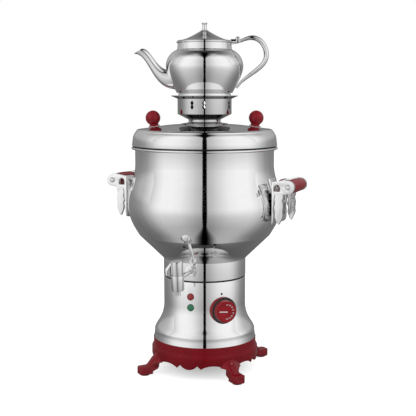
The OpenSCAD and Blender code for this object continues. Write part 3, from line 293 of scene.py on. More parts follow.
def lathe(name, profile, segments=144, closed=True, sharp=40.0, matrix=None):
    """Turns a profile of (radius, height) points about Z. A closed profile makes a shell, and an open one
    runs from the axis to the axis."""
    bm = bmesh.new()
    rings = []
    for r, z in profile:
        if r < 1e-7:
            rings.append([bm.verts.new((0, 0, z))])
        else:
            turns = (2 * math.pi * j / segments for j in range(segments))
            rings.append([bm.verts.new((r * math.cos(a), r * math.sin(a), z)) for a in turns])
    pairs = list(zip(rings, rings[1:])) + ([(rings[-1], rings[0])] if closed else [])
    for a, b in pairs:
        for j in range(segments):
            k = (j + 1) % segments
            if len(a) == 1 and len(b) == 1:
                continue
            if len(a) == 1:
                bm.faces.new((a[0], b[k], b[j]))
            elif len(b) == 1:
                bm.faces.new((a[j], a[k], b[0]))
            else:
                bm.faces.new((a[j], a[k], b[k], b[j]))
    if matrix is not None:
        bm.transform(matrix)
    return finish_mesh(name, bm, sharp)


def plug(name, radius, start, end, segments, matrix=None):
    """A round cutter along Z."""
    return lathe(name, [(0, start), (radius, start), (radius, end), (0, end)], segments, False, matrix=matrix)


def block(name, size, centre, bevel=0.0):
    """A box, with softened edges where a bevel is given."""
    bm = bmesh.new()
    bmesh.ops.create_cube(bm, size=1.0, matrix=Matrix.Translation(centre) @ Matrix.Diagonal((*size, 1)))
    if bevel:
        bmesh.ops.bevel(bm, geom=list(bm.edges), offset=bevel, segments=2, affect="EDGES")
    return finish_mesh(name, bm)


def loft(name, rings, sharp=40.0, caps=True):
    """Joins rings of equally many points to a tube."""
    bm = bmesh.new()
    rows = [[bm.verts.new(p) for p in ring] for ring in rings]
    n = len(rows[0])
    for a, b in zip(rows, rows[1:]):
        for j in range(n):
            k = (j + 1) % n
            bm.faces.new((a[j], a[k], b[k], b[j]))
    if caps:
        bm.faces.new(rows[0][::-1])
        bm.faces.new(rows[-1])
    return finish_mesh(name, bm, sharp)


def slab(name, outline, low_z, high_z, bevel, matrix):
    """A plate cut to a closed outline, with softened rims where a bevel is given."""
    bm = bmesh.new()
    verts = [bm.verts.new((x, y, low_z)) for x, y in outline]
    face = bm.faces.new(verts)
    made = bmesh.ops.extrude_face_region(bm, geom=[face])
    moved = [v for v in made["geom"] if isinstance(v, bmesh.types.BMVert)]
    bmesh.ops.translate(bm, verts=moved, vec=(0, 0, high_z - low_z))
    bmesh.ops.recalc_face_normals(bm, faces=bm.faces)
    if bevel:
        rims = [e for e in bm.edges if abs(e.verts[0].co.z - e.verts[1].co.z) < 1e-9]
        bmesh.ops.bevel(bm, geom=rims, offset=bevel, segments=2, profile=0.6, affect="EDGES",
                        clamp_overlap=True)
    bm.transform(matrix)
    return finish_mesh(name, bm)


def apply_modifiers(obj):
    """Replaces an object's mesh by what its modifiers make of it, and removes them."""
    depsgraph = bpy.context.evaluated_depsgraph_get()
    mesh = bpy.data.meshes.new_from_object(obj.evaluated_get(depsgraph), depsgraph=depsgraph)
    obj.modifiers.clear()
    obj.data = mesh
    return obj


def cut(obj, cutters, sharp=40.0):
    """Takes the cutters away from an object."""
    for c in cutters:
        m = obj.modifiers.new("cut", "BOOLEAN")
        m.operation = "DIFFERENCE"
        m.solver = "EXACT"
        m.object = c
    apply_modifiers(obj)
    for c in cutters:
        bpy.data.objects.remove(c)
    obj.data.set_sharp_from_angle(angle=math.radians(sharp))
    return obj


def joined(name, objects, matrix=None, sharp=None):
    """One object from several, moved where a matrix is given and smoothed where an angle is."""
    bm = bmesh.new()
    for o in objects:
        bm.from_mesh(o.data)
    mesh = bpy.data.meshes.new(name)
    bm.to_mesh(mesh)
    bm.free()
    for m in objects[0].data.materials:
        mesh.materials.append(m)
    obj = placed(name, mesh)
    for o in objects:
        bpy.data.objects.remove(o)
    if matrix is not None:
        mesh.transform(matrix)
    return obj if sharp is None else smoothed(obj, sharp)


def softened(name, piece, width, segments, angle):
    """A merged copy of a CAD node with its sharp edges rounded."""
    bm = bmesh.new()
    bm.from_mesh(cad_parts[piece].data)
    bmesh.ops.remove_doubles(bm, verts=bm.verts, dist=2e-6)
    bmesh.ops.dissolve_limit(bm, angle_limit=math.radians(1), verts=bm.verts, edges=bm.edges,
                             delimit={"NORMAL"})
    obj = finish_mesh(name, bm)
    m = obj.modifiers.new("bevel", "BEVEL")
    m.width = width
    m.segments = segments
    m.limit_method = "ANGLE"
    m.angle_limit = math.radians(angle)
    return smoothed(apply_modifiers(obj), 44)


def paint(obj, material):
    obj.data.materials.clear()
    obj.data.materials.append(material)
    return obj


def repaint(obj, material, wanted):
    """Gives another material to the faces that meet a condition."""
    obj.data.materials.append(material)
    for face in obj.data.polygons:
        if wanted(face):
            face.material_index = len(obj.data.materials) - 1


def outward(face):
    """How far a face looks away from the axis, from -1 to 1."""
    c, n = face.center, face.normal
    return (c.x * n.x + c.y * n.y) / math.hypot(c.x, c.y)


def settle(obj, body, slot, *nodes):
    """Rides a finished piece on its body, in place of the CAD nodes that it stands for."""
    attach(obj, body)
    if nodes:
        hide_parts(*nodes)
    return obj


def on_wall(angle, height):
    """Places a piece drawn in a wall's plane: its Z points outwards at an angle from the tap."""
    return Matrix.Rotation(angle, 4, "Z") @ Matrix.Translation((0, 0, height)) @ QUARTER_X


# Node trees

def node(tree, kind, inputs=(), **settings):
    """A new node with its settings. Each input takes a value or the output that feeds it."""
    made = tree.nodes.new(kind)
    for key, value in settings.items():
        setattr(made, key, value)
    for key, value in dict(inputs).items():
        if isinstance(value, bpy.types.NodeSocket):
            tree.links.new(value, made.inputs[key])
        else:
            made.inputs[key].default_value = value
    return made


def ring_tree():
    """Copies the incoming mesh round a circle about Z: each copy is turned to face outwards."""
    name = "Samovar ring"
    if name in bpy.data.node_groups:
        return bpy.data.node_groups[name]
    g = bpy.data.node_groups.new(name, "GeometryNodeTree")
    for label, kind in (("Geometry", "Geometry"), ("Radius", "Float"), ("Count", "Int"), ("Phase", "Float"),
                        ("Height", "Float"), ("Material", "Material")):
        g.interface.new_socket(name=label, in_out="INPUT", socket_type="NodeSocket" + kind)
    g.interface.new_socket(name="Geometry", in_out="OUTPUT", socket_type="NodeSocketGeometry")
    given = node(g, "NodeGroupInput").outputs
    line = node(g, "GeometryNodeMeshLine", {"Count": given["Count"], "Offset": (0, 0, 0)}, mode="OFFSET")
    index = node(g, "GeometryNodeInputIndex")
    step = node(g, "ShaderNodeMath", {0: 2 * math.pi, 1: given["Count"]}, operation="DIVIDE")
    angle = node(g, "ShaderNodeMath", {0: index.outputs[0], 1: step.outputs[0], 2: given["Phase"]},
                 operation="MULTIPLY_ADD")
    spin = node(g, "ShaderNodeCombineXYZ", {"Z": angle.outputs[0]})
    place = node(g, "ShaderNodeCombineXYZ", {"X": given["Radius"], "Z": given["Height"]})
    rotate = node(g, "ShaderNodeVectorRotate", {"Vector": place.outputs[0], "Angle": angle.outputs[0]},
                  rotation_type="Z_AXIS")
    moved = node(g, "GeometryNodeSetPosition", {"Geometry": line.outputs[0], "Position": rotate.outputs[0]})
    copies = node(g, "GeometryNodeInstanceOnPoints", {
        "Points": moved.outputs[0], "Instance": given["Geometry"], "Rotation": spin.outputs[0]})
    real = node(g, "GeometryNodeRealizeInstances", {0: copies.outputs[0]})
    coat = node(g, "GeometryNodeSetMaterial", {"Geometry": real.outputs[0], "Material": given["Material"]})
    node(g, "NodeGroupOutput", {0: coat.outputs[0]})
    return g


def use_tree(obj, tree, **values):
    """Runs a node tree on an object with the given inputs and keeps the plain mesh."""
    m = obj.modifiers.new("nodes", "NODES")
    m.node_group = tree
    for item in tree.interface.items_tree:
        if item.in_out == "INPUT" and item.name in values:
            m[item.identifier] = values[item.name]
    obj.update_tag()
    bpy.context.view_layer.update()
    return apply_modifiers(obj)


def ring_of(obj, radius, count, phase, height, material):
    """Copies of an object round the axis."""
    return use_tree(obj, ring_tree(), Radius=radius, Count=count, Phase=phase, Height=height,
                    Material=material)


# Finishes

def principled(name):
    if name in bpy.data.materials:
        return None, bpy.data.materials[name]
    m = bpy.data.materials.new(name)
    m.use_nodes = True
    return m.node_tree.nodes["Principled BSDF"], m


def noise(tree, scale, detail=2.0, stretch=(1, 1, 1)):
    """Noise in the object's own coordinates."""
    where = node(tree, "ShaderNodeTexCoord")
    mapping = node(tree, "ShaderNodeMapping", {0: where.outputs["Object"], "Scale": stretch})
    return node(tree, "ShaderNodeTexNoise", {"Vector": mapping.outputs[0], "Scale": scale, "Detail": detail})


def spread(tree, tex, low_value, high_value, target):
    """Moves an input between two values with the noise."""
    moved = node(tree, "ShaderNodeMapRange", {"Value": tex.outputs["Fac"], "From Min": 0.3, "From Max": 0.7,
                                              "To Min": low_value, "To Max": high_value})
    tree.links.new(moved.outputs[0], target)


def tinted(tree, tex, colour, other, target):
    """Moves an input between two colours with the noise."""
    part = node(tree, "ShaderNodeMapRange", {"Value": tex.outputs["Fac"], "From Min": 0.35, "From Max": 0.65})
    mix = node(tree, "ShaderNodeMix", {"A": (*colour, 1), "B": (*other, 1), "Factor": part.outputs[0]},
               data_type="RGBA")
    tree.links.new(mix.outputs["Result"], target)


def bumped(tree, shader, tex, strength, distance):
    """Raises the surface with the noise."""
    bump = node(tree, "ShaderNodeBump", {"Height": tex.outputs["Fac"], "Strength": strength,
                                         "Distance": distance})
    tree.links.new(bump.outputs[0], shader.inputs["Normal"])


def set_inputs(shader, **values):
    """Sets a shader's inputs by their names in lower case, with _ for the spaces."""
    for socket in shader.inputs:
        key = socket.name.lower().replace(" ", "_")
        if key in values:
            socket.default_value = values[key]


def shaded(colour, factor):
    return tuple(c * factor for c in colour)


def metal(name, colour, roughness, variation, grain=(1, 1, 1), scale=30.0, bump=0.0):
    """Metal with small uneven spots of gloss and a faint grain."""
    shader, m = principled(name)
    if shader is None:
        return m
    t = m.node_tree
    set_inputs(shader, metallic=1.0)
    smears = noise(t, scale, 3.0, grain)
    tinted(t, smears, colour, shaded(colour, 0.965), shader.inputs["Base Color"])
    spread(t, smears, max(roughness - variation, 0.02), roughness + variation, shader.inputs["Roughness"])
    if bump:
        bumped(t, shader, noise(t, scale * 8, 2.0, grain), 0.25, bump)
    return m


def plastic(name, colour, roughness, bump=0.00002, scale=900.0, coat=0.0, other=0.85, specular=0.5):
    """Moulded plastic: a slight mottle in its colour and gloss, and a fine skin."""
    shader, m = principled(name)
    if shader is None:
        return m
    t = m.node_tree
    broad = noise(t, 60.0, 3.0)
    tinted(t, broad, colour, shaded(colour, other), shader.inputs["Base Color"])
    spread(t, broad, roughness - 0.03, roughness + 0.05, shader.inputs["Roughness"])
    set_inputs(shader, coat_weight=coat, coat_roughness=0.08, specular_ior_level=specular)
    bumped(t, shader, noise(t, scale, 2.0), 0.3, bump)
    return m


def lens_finish(name, colour):
    """A clear coloured lens with painted shade that darkens it towards its rim."""
    shader, m = principled(name)
    if shader is None:
        return m
    t = m.node_tree
    facets = noise(t, 700.0, 1.0)
    # Painted shade: the colour darkens where the lens turns away from the view
    rim = node(t, "ShaderNodeLayerWeight", {"Blend": 0.5})
    dark = node(t, "ShaderNodeMix", {"B": (*shaded(colour, 0.10), 1), "Factor": rim.outputs["Facing"]},
                data_type="RGBA")
    tinted(t, facets, colour, shaded(colour, 0.6), dark.inputs["A"])
    t.links.new(dark.outputs["Result"], shader.inputs["Base Color"])
    spread(t, facets, 0.08, 0.16, shader.inputs["Roughness"])
    set_inputs(shader, transmission_weight=0.25, coat_weight=0.6, coat_roughness=0.04)
    return m


def floor_finish(name, colour):
    """A pale floor that glows for the camera alone. The glow fades under the object, which paints a soft
    shadow there on top of its real shadow.
    """
    shader, m = principled(name)
    if shader is None:
        return m
    t = m.node_tree
    tinted(t, noise(t, 3.0), colour, shaded(colour, 0.995), shader.inputs["Base Color"])
    set_inputs(shader, roughness=0.35, specular_ior_level=0.12)
    where = node(t, "ShaderNodeTexCoord")
    away = node(t, "ShaderNodeVectorMath", {0: where.outputs["Object"]}, operation="LENGTH")
    # Painted shadow: the glow grows weaker towards the middle under the object
    fade = node(t, "ShaderNodeMapRange", {"Value": away.outputs["Value"], "From Min": 0.01, "From Max": 0.12,
                                          "To Min": 0.40, "To Max": 0.84}, interpolation_type="SMOOTHSTEP")
    glow = node(t, "ShaderNodeEmission", {"Strength": fade.outputs[0]})
    both = node(t, "ShaderNodeAddShader", {0: shader.outputs[0], 1: glow.outputs[0]})
    path = node(t, "ShaderNodeLightPath")
    pick = node(t, "ShaderNodeMixShader", {0: path.outputs["Is Camera Ray"], 1: shader.outputs[0],
                                           2: both.outputs[0]})
    t.links.new(pick.outputs[0], t.nodes["Material Output"].inputs["Surface"])
    return m


def finishes():
    """Every finish of the samovar by its plain name."""
    f = bpy.context.scene.samovar.finishes
    crimson, grip = tuple(f.crimson), tuple(f.grip_crimson)
    even, rolled = (1, 1, 1), (1, 1, 3)
    return {
        "steel": metal("Polished steel", tuple(f.steel), f.steel_roughness, 0.012, rolled, 14.0),
        # Painted shade: the dim steel is a dark copy of the steel for the undersides of the crown
        "dim": metal("Painted shade steel", (0.13, 0.13, 0.132), 0.12, 0.02, rolled, 14.0),
        # Painted shade: the drum steel is a darker copy of the polished steel, for the drum, the tray and the
        # teapot lid
        "drum": metal("Painted shade drum steel", (0.62, 0.62, 0.625), f.steel_roughness, 0.02, rolled, 14.0),
        # Painted shade: the inside is near-black steel for the drum's inner faces, so the vents look dark
        "inside": metal("Painted shade inside", (0.035, 0.035, 0.037), 0.5, 0.05, even, 40.0),
        "chrome": metal("Bright casting", tuple(f.chrome), f.chrome_roughness, 0.05, even, 60.0, 0.00006),
        "plated": metal("Plated steel", (0.72, 0.72, 0.73), 0.22, 0.06, even, 200.0, 0.00002),
        "satin": metal("Satin sheet", (0.66, 0.67, 0.69), 0.34, 0.06, (1, 14, 14), 30.0, 0.00002),
        "sheath": metal("Heater sheath", (0.34, 0.34, 0.35), 0.42, 0.1, even, 120.0, 0.00003),
        "copper": metal("Copper tube", (0.72, 0.38, 0.22), 0.28, 0.08, even, 150.0),
        "brass": metal("Brass fittings", (0.72, 0.56, 0.28), 0.26, 0.07, even, 150.0),
        "crimson": plastic("Crimson plastic", crimson, f.crimson_roughness, 0.00002, 900.0, 0.0, 0.88, 0.13),
        # Painted light: the legs take the crimson made a tenth lighter, a lit copy of the ring's plastic
        "leg": plastic("Leg plastic painted lighter", shaded(crimson, 1.10), 0.25, 0.00002, 900.0, 0.03, 0.88, 0.26),
        "grip": plastic("Grip plastic", grip, 0.26, 0.00002, 900.0, 0.05, 0.85, 0.25),
        "dial": plastic("Dial plastic", (0.37, 0.010, 0.019), 0.36, 0.00003, 900.0, 0.0, 0.85, 0.2),
        "rubber": plastic("Black rubber", tuple(f.rubber), 0.62, 0.00004, 1400.0, 0.0, 0.7, 0.3),
        "black": plastic("Black moulding", (0.018, 0.018, 0.019), 0.4, 0.00004, 1500.0, 0.0, 0.7),
        "cream": plastic("Cream moulding", (0.72, 0.68, 0.58), 0.45, 0.00004, 1200.0),
        "wire": plastic("Blue wire cover", (0.03, 0.10, 0.32), 0.4, 0.00002, 900.0),
        "grey": plastic("Grey coated sheet", (0.12, 0.125, 0.13), 0.5, 0.0001, 1600.0),
        "white": plastic("Print white", (0.80, 0.78, 0.78), 0.5, 0.00001, 900.0, 0.0, 0.95),
        "ink": plastic("Print black", (0.006, 0.006, 0.006), 0.5, 0.00001, 900.0, 0.0, 0.9),
        "red_lens": lens_finish("Red lens", (0.62, 0.012, 0.02)),
        "green_lens": lens_finish("Green lens", (0.01, 0.36, 0.16)),
    }


LEGS = ["leg_front_left", "leg_front_right", "leg_back_left", "leg_back_right"]
BRACKETS = ["bracket_left_front", "bracket_left_back", "bracket_right_front", "bracket_right_back"]
CAD_FINISHES = {
    "satin": ["heat_shield", "steam_plate"], "grey": ["bottom_plate"], "black": ["mains_inlet"],
    "cream": ["terminal_block", "thermostat_body", "lamp_bodies"], "wire": ["wiring"],
    "copper": ["thermostat_bulb"],
    "sheath": ["heater_element"], "brass": ["heater_glands"],
    "rubber": ["foot_pads", "seam_gasket", "tap_seals", "lid_seal"],
    "plated": ["base_screws", "inlet_pins", "inlet_screws", "thermostat_nut", "thermostat_shaft", "clamp_rod",
               "grip_rods", "bracket_screws", "lid_knob_screws", "hinge_pin"],
    "steel": ["bell_housing", "boiler_neck", "boiler_cone", "boiler_bowl", "lid_shell", "crown_drum",
              "crown_tray", "teapot_body", "teapot_spout", "teapot_handle", "teapot_lid", "teapot_finial",
              "thumb_ball"],
    "chrome": ["tap_flange", "tap_pipe", "tap_barrel", "tap_key", *BRACKETS],
    "crimson": ["base_ring", *LEGS],
    "dial": ["dial_bezel", "dial_knob"],
    "grip": ["lid_knob_left", "lid_knob_right", "grip_left", "grip_right"],
    "red_lens": ["red_lamp_lens"], "green_lens": ["green_lamp_lens"],
}


# Lines of the main shells, in metres

def bell_line():
    z0, z1 = low("bell_housing"), top("bell_housing")
    r0, neck = 0.0938, 0.075
    step = (r0 - 0.0017, z0 + 0.0155)
    flare = bezier([step, (step[0] - 0.0016, z0 + 0.0255), (neck - 0.001, z0 + 0.0345),
                    (neck, z0 + 0.0685)], 40)
    return ([(r0, z0), (r0 - 0.0009, z0 + 0.008), (step[0] + 0.0002, step[1] - 0.0014)]
            + bead(step[0] - 0.0003, step[1] - 0.0006, 0.0008, -10, 70, 4) + flare[1:] + [(neck, z1)])


def bowl_line(s):
    z0, z1 = low("boiler_bowl"), top("boiler_bowl") - s.rim_height
    collar_z = z1 - s.collar_height
    belly_z = collar_z - s.shoulder_height
    rise, out = belly_z - z0, s.belly_radius - s.foot_radius
    foot = bezier([(s.foot_radius, z0), (s.foot_radius + 0.6 * out, z0 + 0.31 * rise),
                   (s.belly_radius, belly_z - 0.36 * rise), (s.belly_radius, belly_z)], 26)
    shoulder = [(s.collar_radius + (s.belly_radius - s.collar_radius) * (1 + math.cos(math.pi * i / 40)) / 2,
                 belly_z + s.shoulder_height * i / 40) for i in range(1, 41)]
    return foot + shoulder + [(s.collar_radius, z1)]


def teapot_line(s):
    z = above(low("teapot_body"))
    foot, base = 0.0492, 0.0501
    belly, neck = s.belly_radius, s.neck_radius
    lower = bezier([(base, z(9)), (base + 0.0074, z(23)), (belly, z(41.5)), (belly, z(57))], 24)
    upper = bezier([(belly, z(57)), (belly, z(69)), (neck + 0.014, z(80.5)), (neck + 0.002, z(85.5))], 22)
    return ([(foot, z(0)), (foot - 0.0024, z(8.2))] + bead(foot - 0.0018, z(8.9), 0.0007, 200, 130, 3)
            + lower + upper[1:] + bead(neck + 0.0023, z(86.6), 0.0011, 250, 190, 3) + [(neck, z(97.5))])


def teapot_core(name, s):
    """A solid a hair larger than the teapot's body, to trim what is fastened to it."""
    line = [(r + 0.00008, z) for r, z in teapot_line(s)[6:]]
    return lathe(name, [(0.0, line[0][1])] + line + [(0.0, line[-1][1])], 128, False)


def hinge_point():
    """Middle of the teapot lid's hinge, in the teapot's own direction."""
    return Vector((0.0594, 0, top("teapot_body") + 0.0040))


class SamovarOperator:
    bl_options = {"REGISTER", "UNDO"}

    @property
    def settings(self):
        return bpy.context.scene.samovar

    @property
    def finish(self):
        return finishes()


# The soft lamps: angle from the camera's side, distance, height, share of the power and size
SOFT_LAMPS = {"lamp left": (-0.95, 1.5, 1.3, 1.0, 0.9), "lamp right": (0.95, 1.5, 1.3, 1.0, 0.9),
              "lamp top": (0.0, 0.3, 2.0, 0.7, 1.2)}
# Brightness of the studio by the angle from its front, and by the angle from straight down, both in degrees
STUDIO_PANELS = ((0, 0.48), (12, 0.60), (20, 0.72), (36, 0.92), (52, 1.0), (70, 1.0), (82, 0.86), (96, 0.58),
                 (112, 0.35), (130, 0.27), (180, 0.24))
STUDIO_LEVELS = ((0, 0.44), (30, 0.45), (45, 0.48), (55, 0.56), (62, 0.62), (68, 0.66), (76, 0.76),
                 (84, 0.90), (91, 1.0), (136, 1.0), (145, 0.80), (152, 0.52), (162, 0.47), (180, 0.42))
# Light added to the studio's back half, by the sine of the height
STUDIO_LIFT = ((0.02, 0.0), (0.15, 0.16), (0.45, 0.22), (0.75, 0.04), (1.0, 0.0))
# Brightness of the world for dull surfaces
PLAIN_LIGHT = 0.62


class SAMOVAR_OT_stage(SamovarOperator, bpy.types.Operator):
    """Makes the camera, the floor, the light and the studio that the steel reflects"""
    bl_idname = "samovar.stage"
    bl_label = "Stage"

    def execute(self, context):
        s = self.settings.stage
        scene = context.scene
        cam = placed("camera", bpy.data.cameras.new("camera"))
        cam.data.lens = s.focal_length
        cam.data.sensor_width = 36.0
        cam.data.clip_start, cam.data.clip_end = 0.05, 50.0
        a = s.camera_turn
        cam.location = (math.sin(a) * s.camera_distance, -math.cos(a) * s.camera_distance, s.camera_height)
        heading = math.pi / 2 + a - s.camera_pan
        level, fall = math.cos(s.camera_tilt), -math.sin(s.camera_tilt)
        self.aim(cam, Vector((math.cos(heading) * level, math.sin(heading) * level, fall)))
        scene.camera = cam
        scene.view_settings.view_transform = "Standard"
        self.make_floor(s)
        self.make_lamps(s)
        self.make_world(scene, a)
        return {"FINISHED"}

    def aim(self, obj, direction):
        obj.rotation_mode = "QUATERNION"
        obj.rotation_quaternion = direction.to_track_quat("-Z", "Y")

    def make_floor(self, s):
        bm = bmesh.new()
        bmesh.ops.create_grid(bm, x_segments=2, y_segments=2, size=6.0)
        floor = paint(finish_mesh("floor", bm), floor_finish("Pale floor", tuple(s.floor)))
        floor.visible_glossy = False

    def make_lamps(self, s):
        for name, (side, away, up, power, size) in SOFT_LAMPS.items():
            lamp = bpy.data.lights.new(name, "AREA")
            lamp.shape = "SQUARE"
            lamp.size = size
            lamp.energy = s.lamp_power * power
            obj = placed(name, lamp)
            a = s.camera_turn + side
            obj.location = (math.sin(a) * away, -math.cos(a) * away, up)
            self.aim(obj, Vector((0, 0, 0.3)) - obj.location)
            obj.visible_glossy = False
            obj.visible_camera = False

    def make_world(self, scene, a):
        """Camera rays see white, shiny surfaces a studio with two broad panels and a gap between them, and
        the rest a plain light."""
        world = bpy.data.worlds.new("studio")
        scene.world = world
        world.use_nodes = True
        t = world.node_tree
        t.nodes.clear()
        where = node(t, "ShaderNodeTexCoord").outputs["Generated"]

        def maths(kind):
            def made(*values):
                return node(t, "ShaderNodeMath", dict(enumerate(values)), operation=kind).outputs[0]
            return made

        def along(direction):
            dot = node(t, "ShaderNodeVectorMath", {0: where, 1: direction}, operation="DOT_PRODUCT")
            return dot.outputs["Value"]

        def ramp(value, stops, span):
            """A brightness that follows stops of position and brightness, with positions up to the span."""
            r = node(t, "ShaderNodeValToRGB", {0: value})
            while len(r.color_ramp.elements) < len(stops):
                r.color_ramp.elements.new(0.5)
            for e, (x, v) in zip(r.color_ramp.elements, stops):
                e.position = x / span
                e.color = (v, v, v, 1)
            return r.outputs[0]

        plus, minus, times, over = map(maths, ("ADD", "SUBTRACT", "MULTIPLY", "DIVIDE"))
        larger, beyond, short_of = map(maths, ("MAXIMUM", "GREATER_THAN", "LESS_THAN"))
        front = along((math.sin(a), -math.cos(a), 0))
        across = along((math.cos(a), math.sin(a), 0))
        up = along((0, 0, 1))
        side = maths("ABSOLUTE")(across)
        # The right panel stands a little farther round than the left one
        lean = plus(0.99, times(across, -0.04))
        high = larger(minus(up, 0.68), 0.0)
        azimuth = times(over(maths("ARCTAN2")(side, front), math.pi), plus(lean, times(high, 1.1)))
        height = plus(over(maths("ARCSINE")(up), math.pi), 0.5)
        panels, level = ramp(azimuth, STUDIO_PANELS, 180), ramp(height, STUDIO_LEVELS, 180)
        lift = times(short_of(front, 0.0), ramp(larger(up, 0.0), STUDIO_LIFT, 1))
        # Low down and high up, the dark gap widens in a curve
        depth = times(larger(minus(times(up, -1.0), 0.66), 0.0), 1.5)
        raised = times(high, 2.0)
        widened = plus(times(depth, depth), times(raised, raised))
        half = plus(times(larger(front, 0.0), 0.060), widened)
        soft = node(t, "ShaderNodeMapRange", {
            "Value": minus(side, half), "From Min": minus(-0.006, times(widened, 0.9)),
            "From Max": plus(0.012, times(widened, 0.3))}, interpolation_type="SMOOTHSTEP")
        dim = node(t, "ShaderNodeMapRange", {"Value": side, "From Min": 0.08, "From Max": 0.40,
                                             "To Min": 0.62})
        behind = times(short_of(front, -0.02), dim.outputs[0])
        gap = times(larger(soft.outputs[0], behind), plus(behind, beyond(front, -0.02)))
        studio = times(times(plus(panels, lift), level), gap)
        path = node(t, "ShaderNodeLightPath").outputs
        camera, shiny = path["Is Camera Ray"], larger(path["Is Glossy Ray"], path["Is Transmission Ray"])
        plain = plus(times(shiny, studio), times(minus(1.0, shiny), PLAIN_LIGHT))
        strength = plus(camera, times(minus(1.0, camera), plain))
        back = node(t, "ShaderNodeBackground", {"Color": (1, 1, 1, 1), "Strength": strength})
        node(t, "ShaderNodeOutputWorld", {"Surface": back.outputs[0]})


class SAMOVAR_OT_finishes(SamovarOperator, bpy.types.Operator):
    """Gives every carried-over CAD piece its finish"""
    bl_idname = "samovar.finishes"
    bl_label = "Finishes"

    def execute(self, context):
        for name, nodes in CAD_FINISHES.items():
            for piece in nodes:
                paint(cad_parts[piece], self.finish[name])
        return {"FINISHED"}


# The point of the scalloped edge and the end of its arch, as shares of the band's radius
SCALLOP_POINT, SCALLOP_ARCH = 0.233, 0.62


class SAMOVAR_OT_base(SamovarOperator, bpy.types.Operator):
    """Makes the base ring with its scalloped edge, and the four legs"""
    bl_idname = "samovar.base"
    bl_label = "Base"

    def edge_height(self, s, angle):
        """Height of the scalloped lower edge at an angle, in radians, from the middle of its quarter."""
        u = abs(s.band_radius * math.sin(angle))
        lobe_z, notch_z, point_z, arch_top = 0.0195, 0.0271, 0.0208, 0.0266
        point_u, arch_end = SCALLOP_POINT * s.band_radius, SCALLOP_ARCH * s.band_radius
        if u <= s.lobe:
            r = (s.lobe ** 2 + (notch_z - lobe_z) ** 2) / (2 * (notch_z - lobe_z))
            return lobe_z + r - math.sqrt(r * r - u * u)
        if u <= point_u:
            return notch_z + (point_z - notch_z) * (u - s.lobe) / (point_u - s.lobe)
        if u <= arch_end:
            t = (u - point_u) / (arch_end - point_u)
            return point_z + (arch_top - point_z) * math.sin(math.pi * t) ** 0.7 + 0.0005 * t
        return point_z + 0.0005

    def profile(self, s, z):
        """Section through the ring where its lower edge has the height z."""
        ring, band, wall, step, height = s.ring_radius, s.band_radius, s.wall, s.step_height, s.top_height
        fit, lip, shelf, bore = 0.0922, height + 0.004, 0.047, 0.0839
        return ([(band - wall + 0.0006, z), (band - 0.0007, z), (band - 0.0002, z + 0.0003),
                 (band, z + 0.0009), (band, step - 0.0075)]
                + bezier([(band, step - 0.0042), (band - 0.0006, step - 0.0021),
                          (ring + 0.0006, step - 0.0012), (ring, step + 0.0012)], 6)
                + [(ring, height - 0.0008), (ring - 0.0003, height - 0.0002), (ring - 0.0009, height),
                   (fit, height), (fit, height + 0.0038), (fit - 0.0002, lip), (fit - 0.0024, lip),
                   (fit - 0.0024, shelf), (bore, shelf), (bore, shelf - wall), (ring - wall, shelf - wall),
                   (band - wall, step - 0.005), (band - wall, z + 0.0008)])

    def execute(self, context):
        s = self.settings.base
        marks = (0.0, s.lobe / s.band_radius, SCALLOP_POINT, SCALLOP_ARCH)
        angles = [math.radians(90 * q + i * 0.6) for q in range(4) for i in range(-75, 75)]
        angles += [math.radians(90 * q) + sign * math.asin(mark) for q in range(4) for mark in marks
                   for sign in (-1, 1)]
        rings = []
        for t in sorted({round(a % (2 * math.pi), 6) for a in angles}):
            local = (t + math.pi / 4) % (math.pi / 2) - math.pi / 4
            a = t - math.pi / 2 + s.turn
            rings.append([(r * math.cos(a), r * math.sin(a), z)
                          for r, z in self.profile(s, self.edge_height(s, local))])
        rings.append(rings[0])
        body = loft("base_ring_skin", rings, 32, caps=False)
        settle(paint(body, self.finish["crimson"]), "samovar", "red_plastic", "base_ring")
        body.visible_glossy = False
        for name in LEGS:
            leg = softened(name + "_skin", name, 0.0007, 2, 18.0)
            # Painted light: the legs take the lighter copy of the crimson
            settle(paint(leg, self.finish["leg"]), "samovar", "red_plastic", name)
            leg.visible_glossy = False
        return {"FINISHED"}


class SAMOVAR_OT_bell(SamovarOperator, bpy.types.Operator):
    """Makes the polished bell housing with its openings"""
    bl_idname = "samovar.bell"
    bl_label = "Bell housing"

    def execute(self, context):
        wall = self.settings.finishes.wall
        dial = self.settings.dial
        line = bell_line()
        inner = inner_line(line, wall)[::-1]
        r1, z1 = line[-1]
        bore = 0.0663
        profile = (line[:-1] + bead(r1 - 0.0008, z1 - 0.0008, 0.0008, 0, 90, 4)
                   + [(bore, z1), (bore, z1 - wall), (r1 - wall, z1 - wall)] + inner[1:])
        bell = lathe("bell_skin", profile, 180, True, 38)
        cutters = [block("inlet_cutter", (0.0276, 0.06, 0.0201), (0, 0.08, 0.125)),
                   plug("bush_cutter", 0.00475, 0.05, 0.09, 32, on_wall(dial.turn_from_tap, dial.height))]
        cutters += [plug("lamp_cutter", 0.0051, 0.05, 0.09, 32, on_wall(0, z)) for z in (0.1465, 0.127)]
        cut(bell, cutters, 38)
        settle(paint(bell, self.finish["steel"]), "samovar", "polished_steel", "bell_housing")
        return {"FINISHED"}


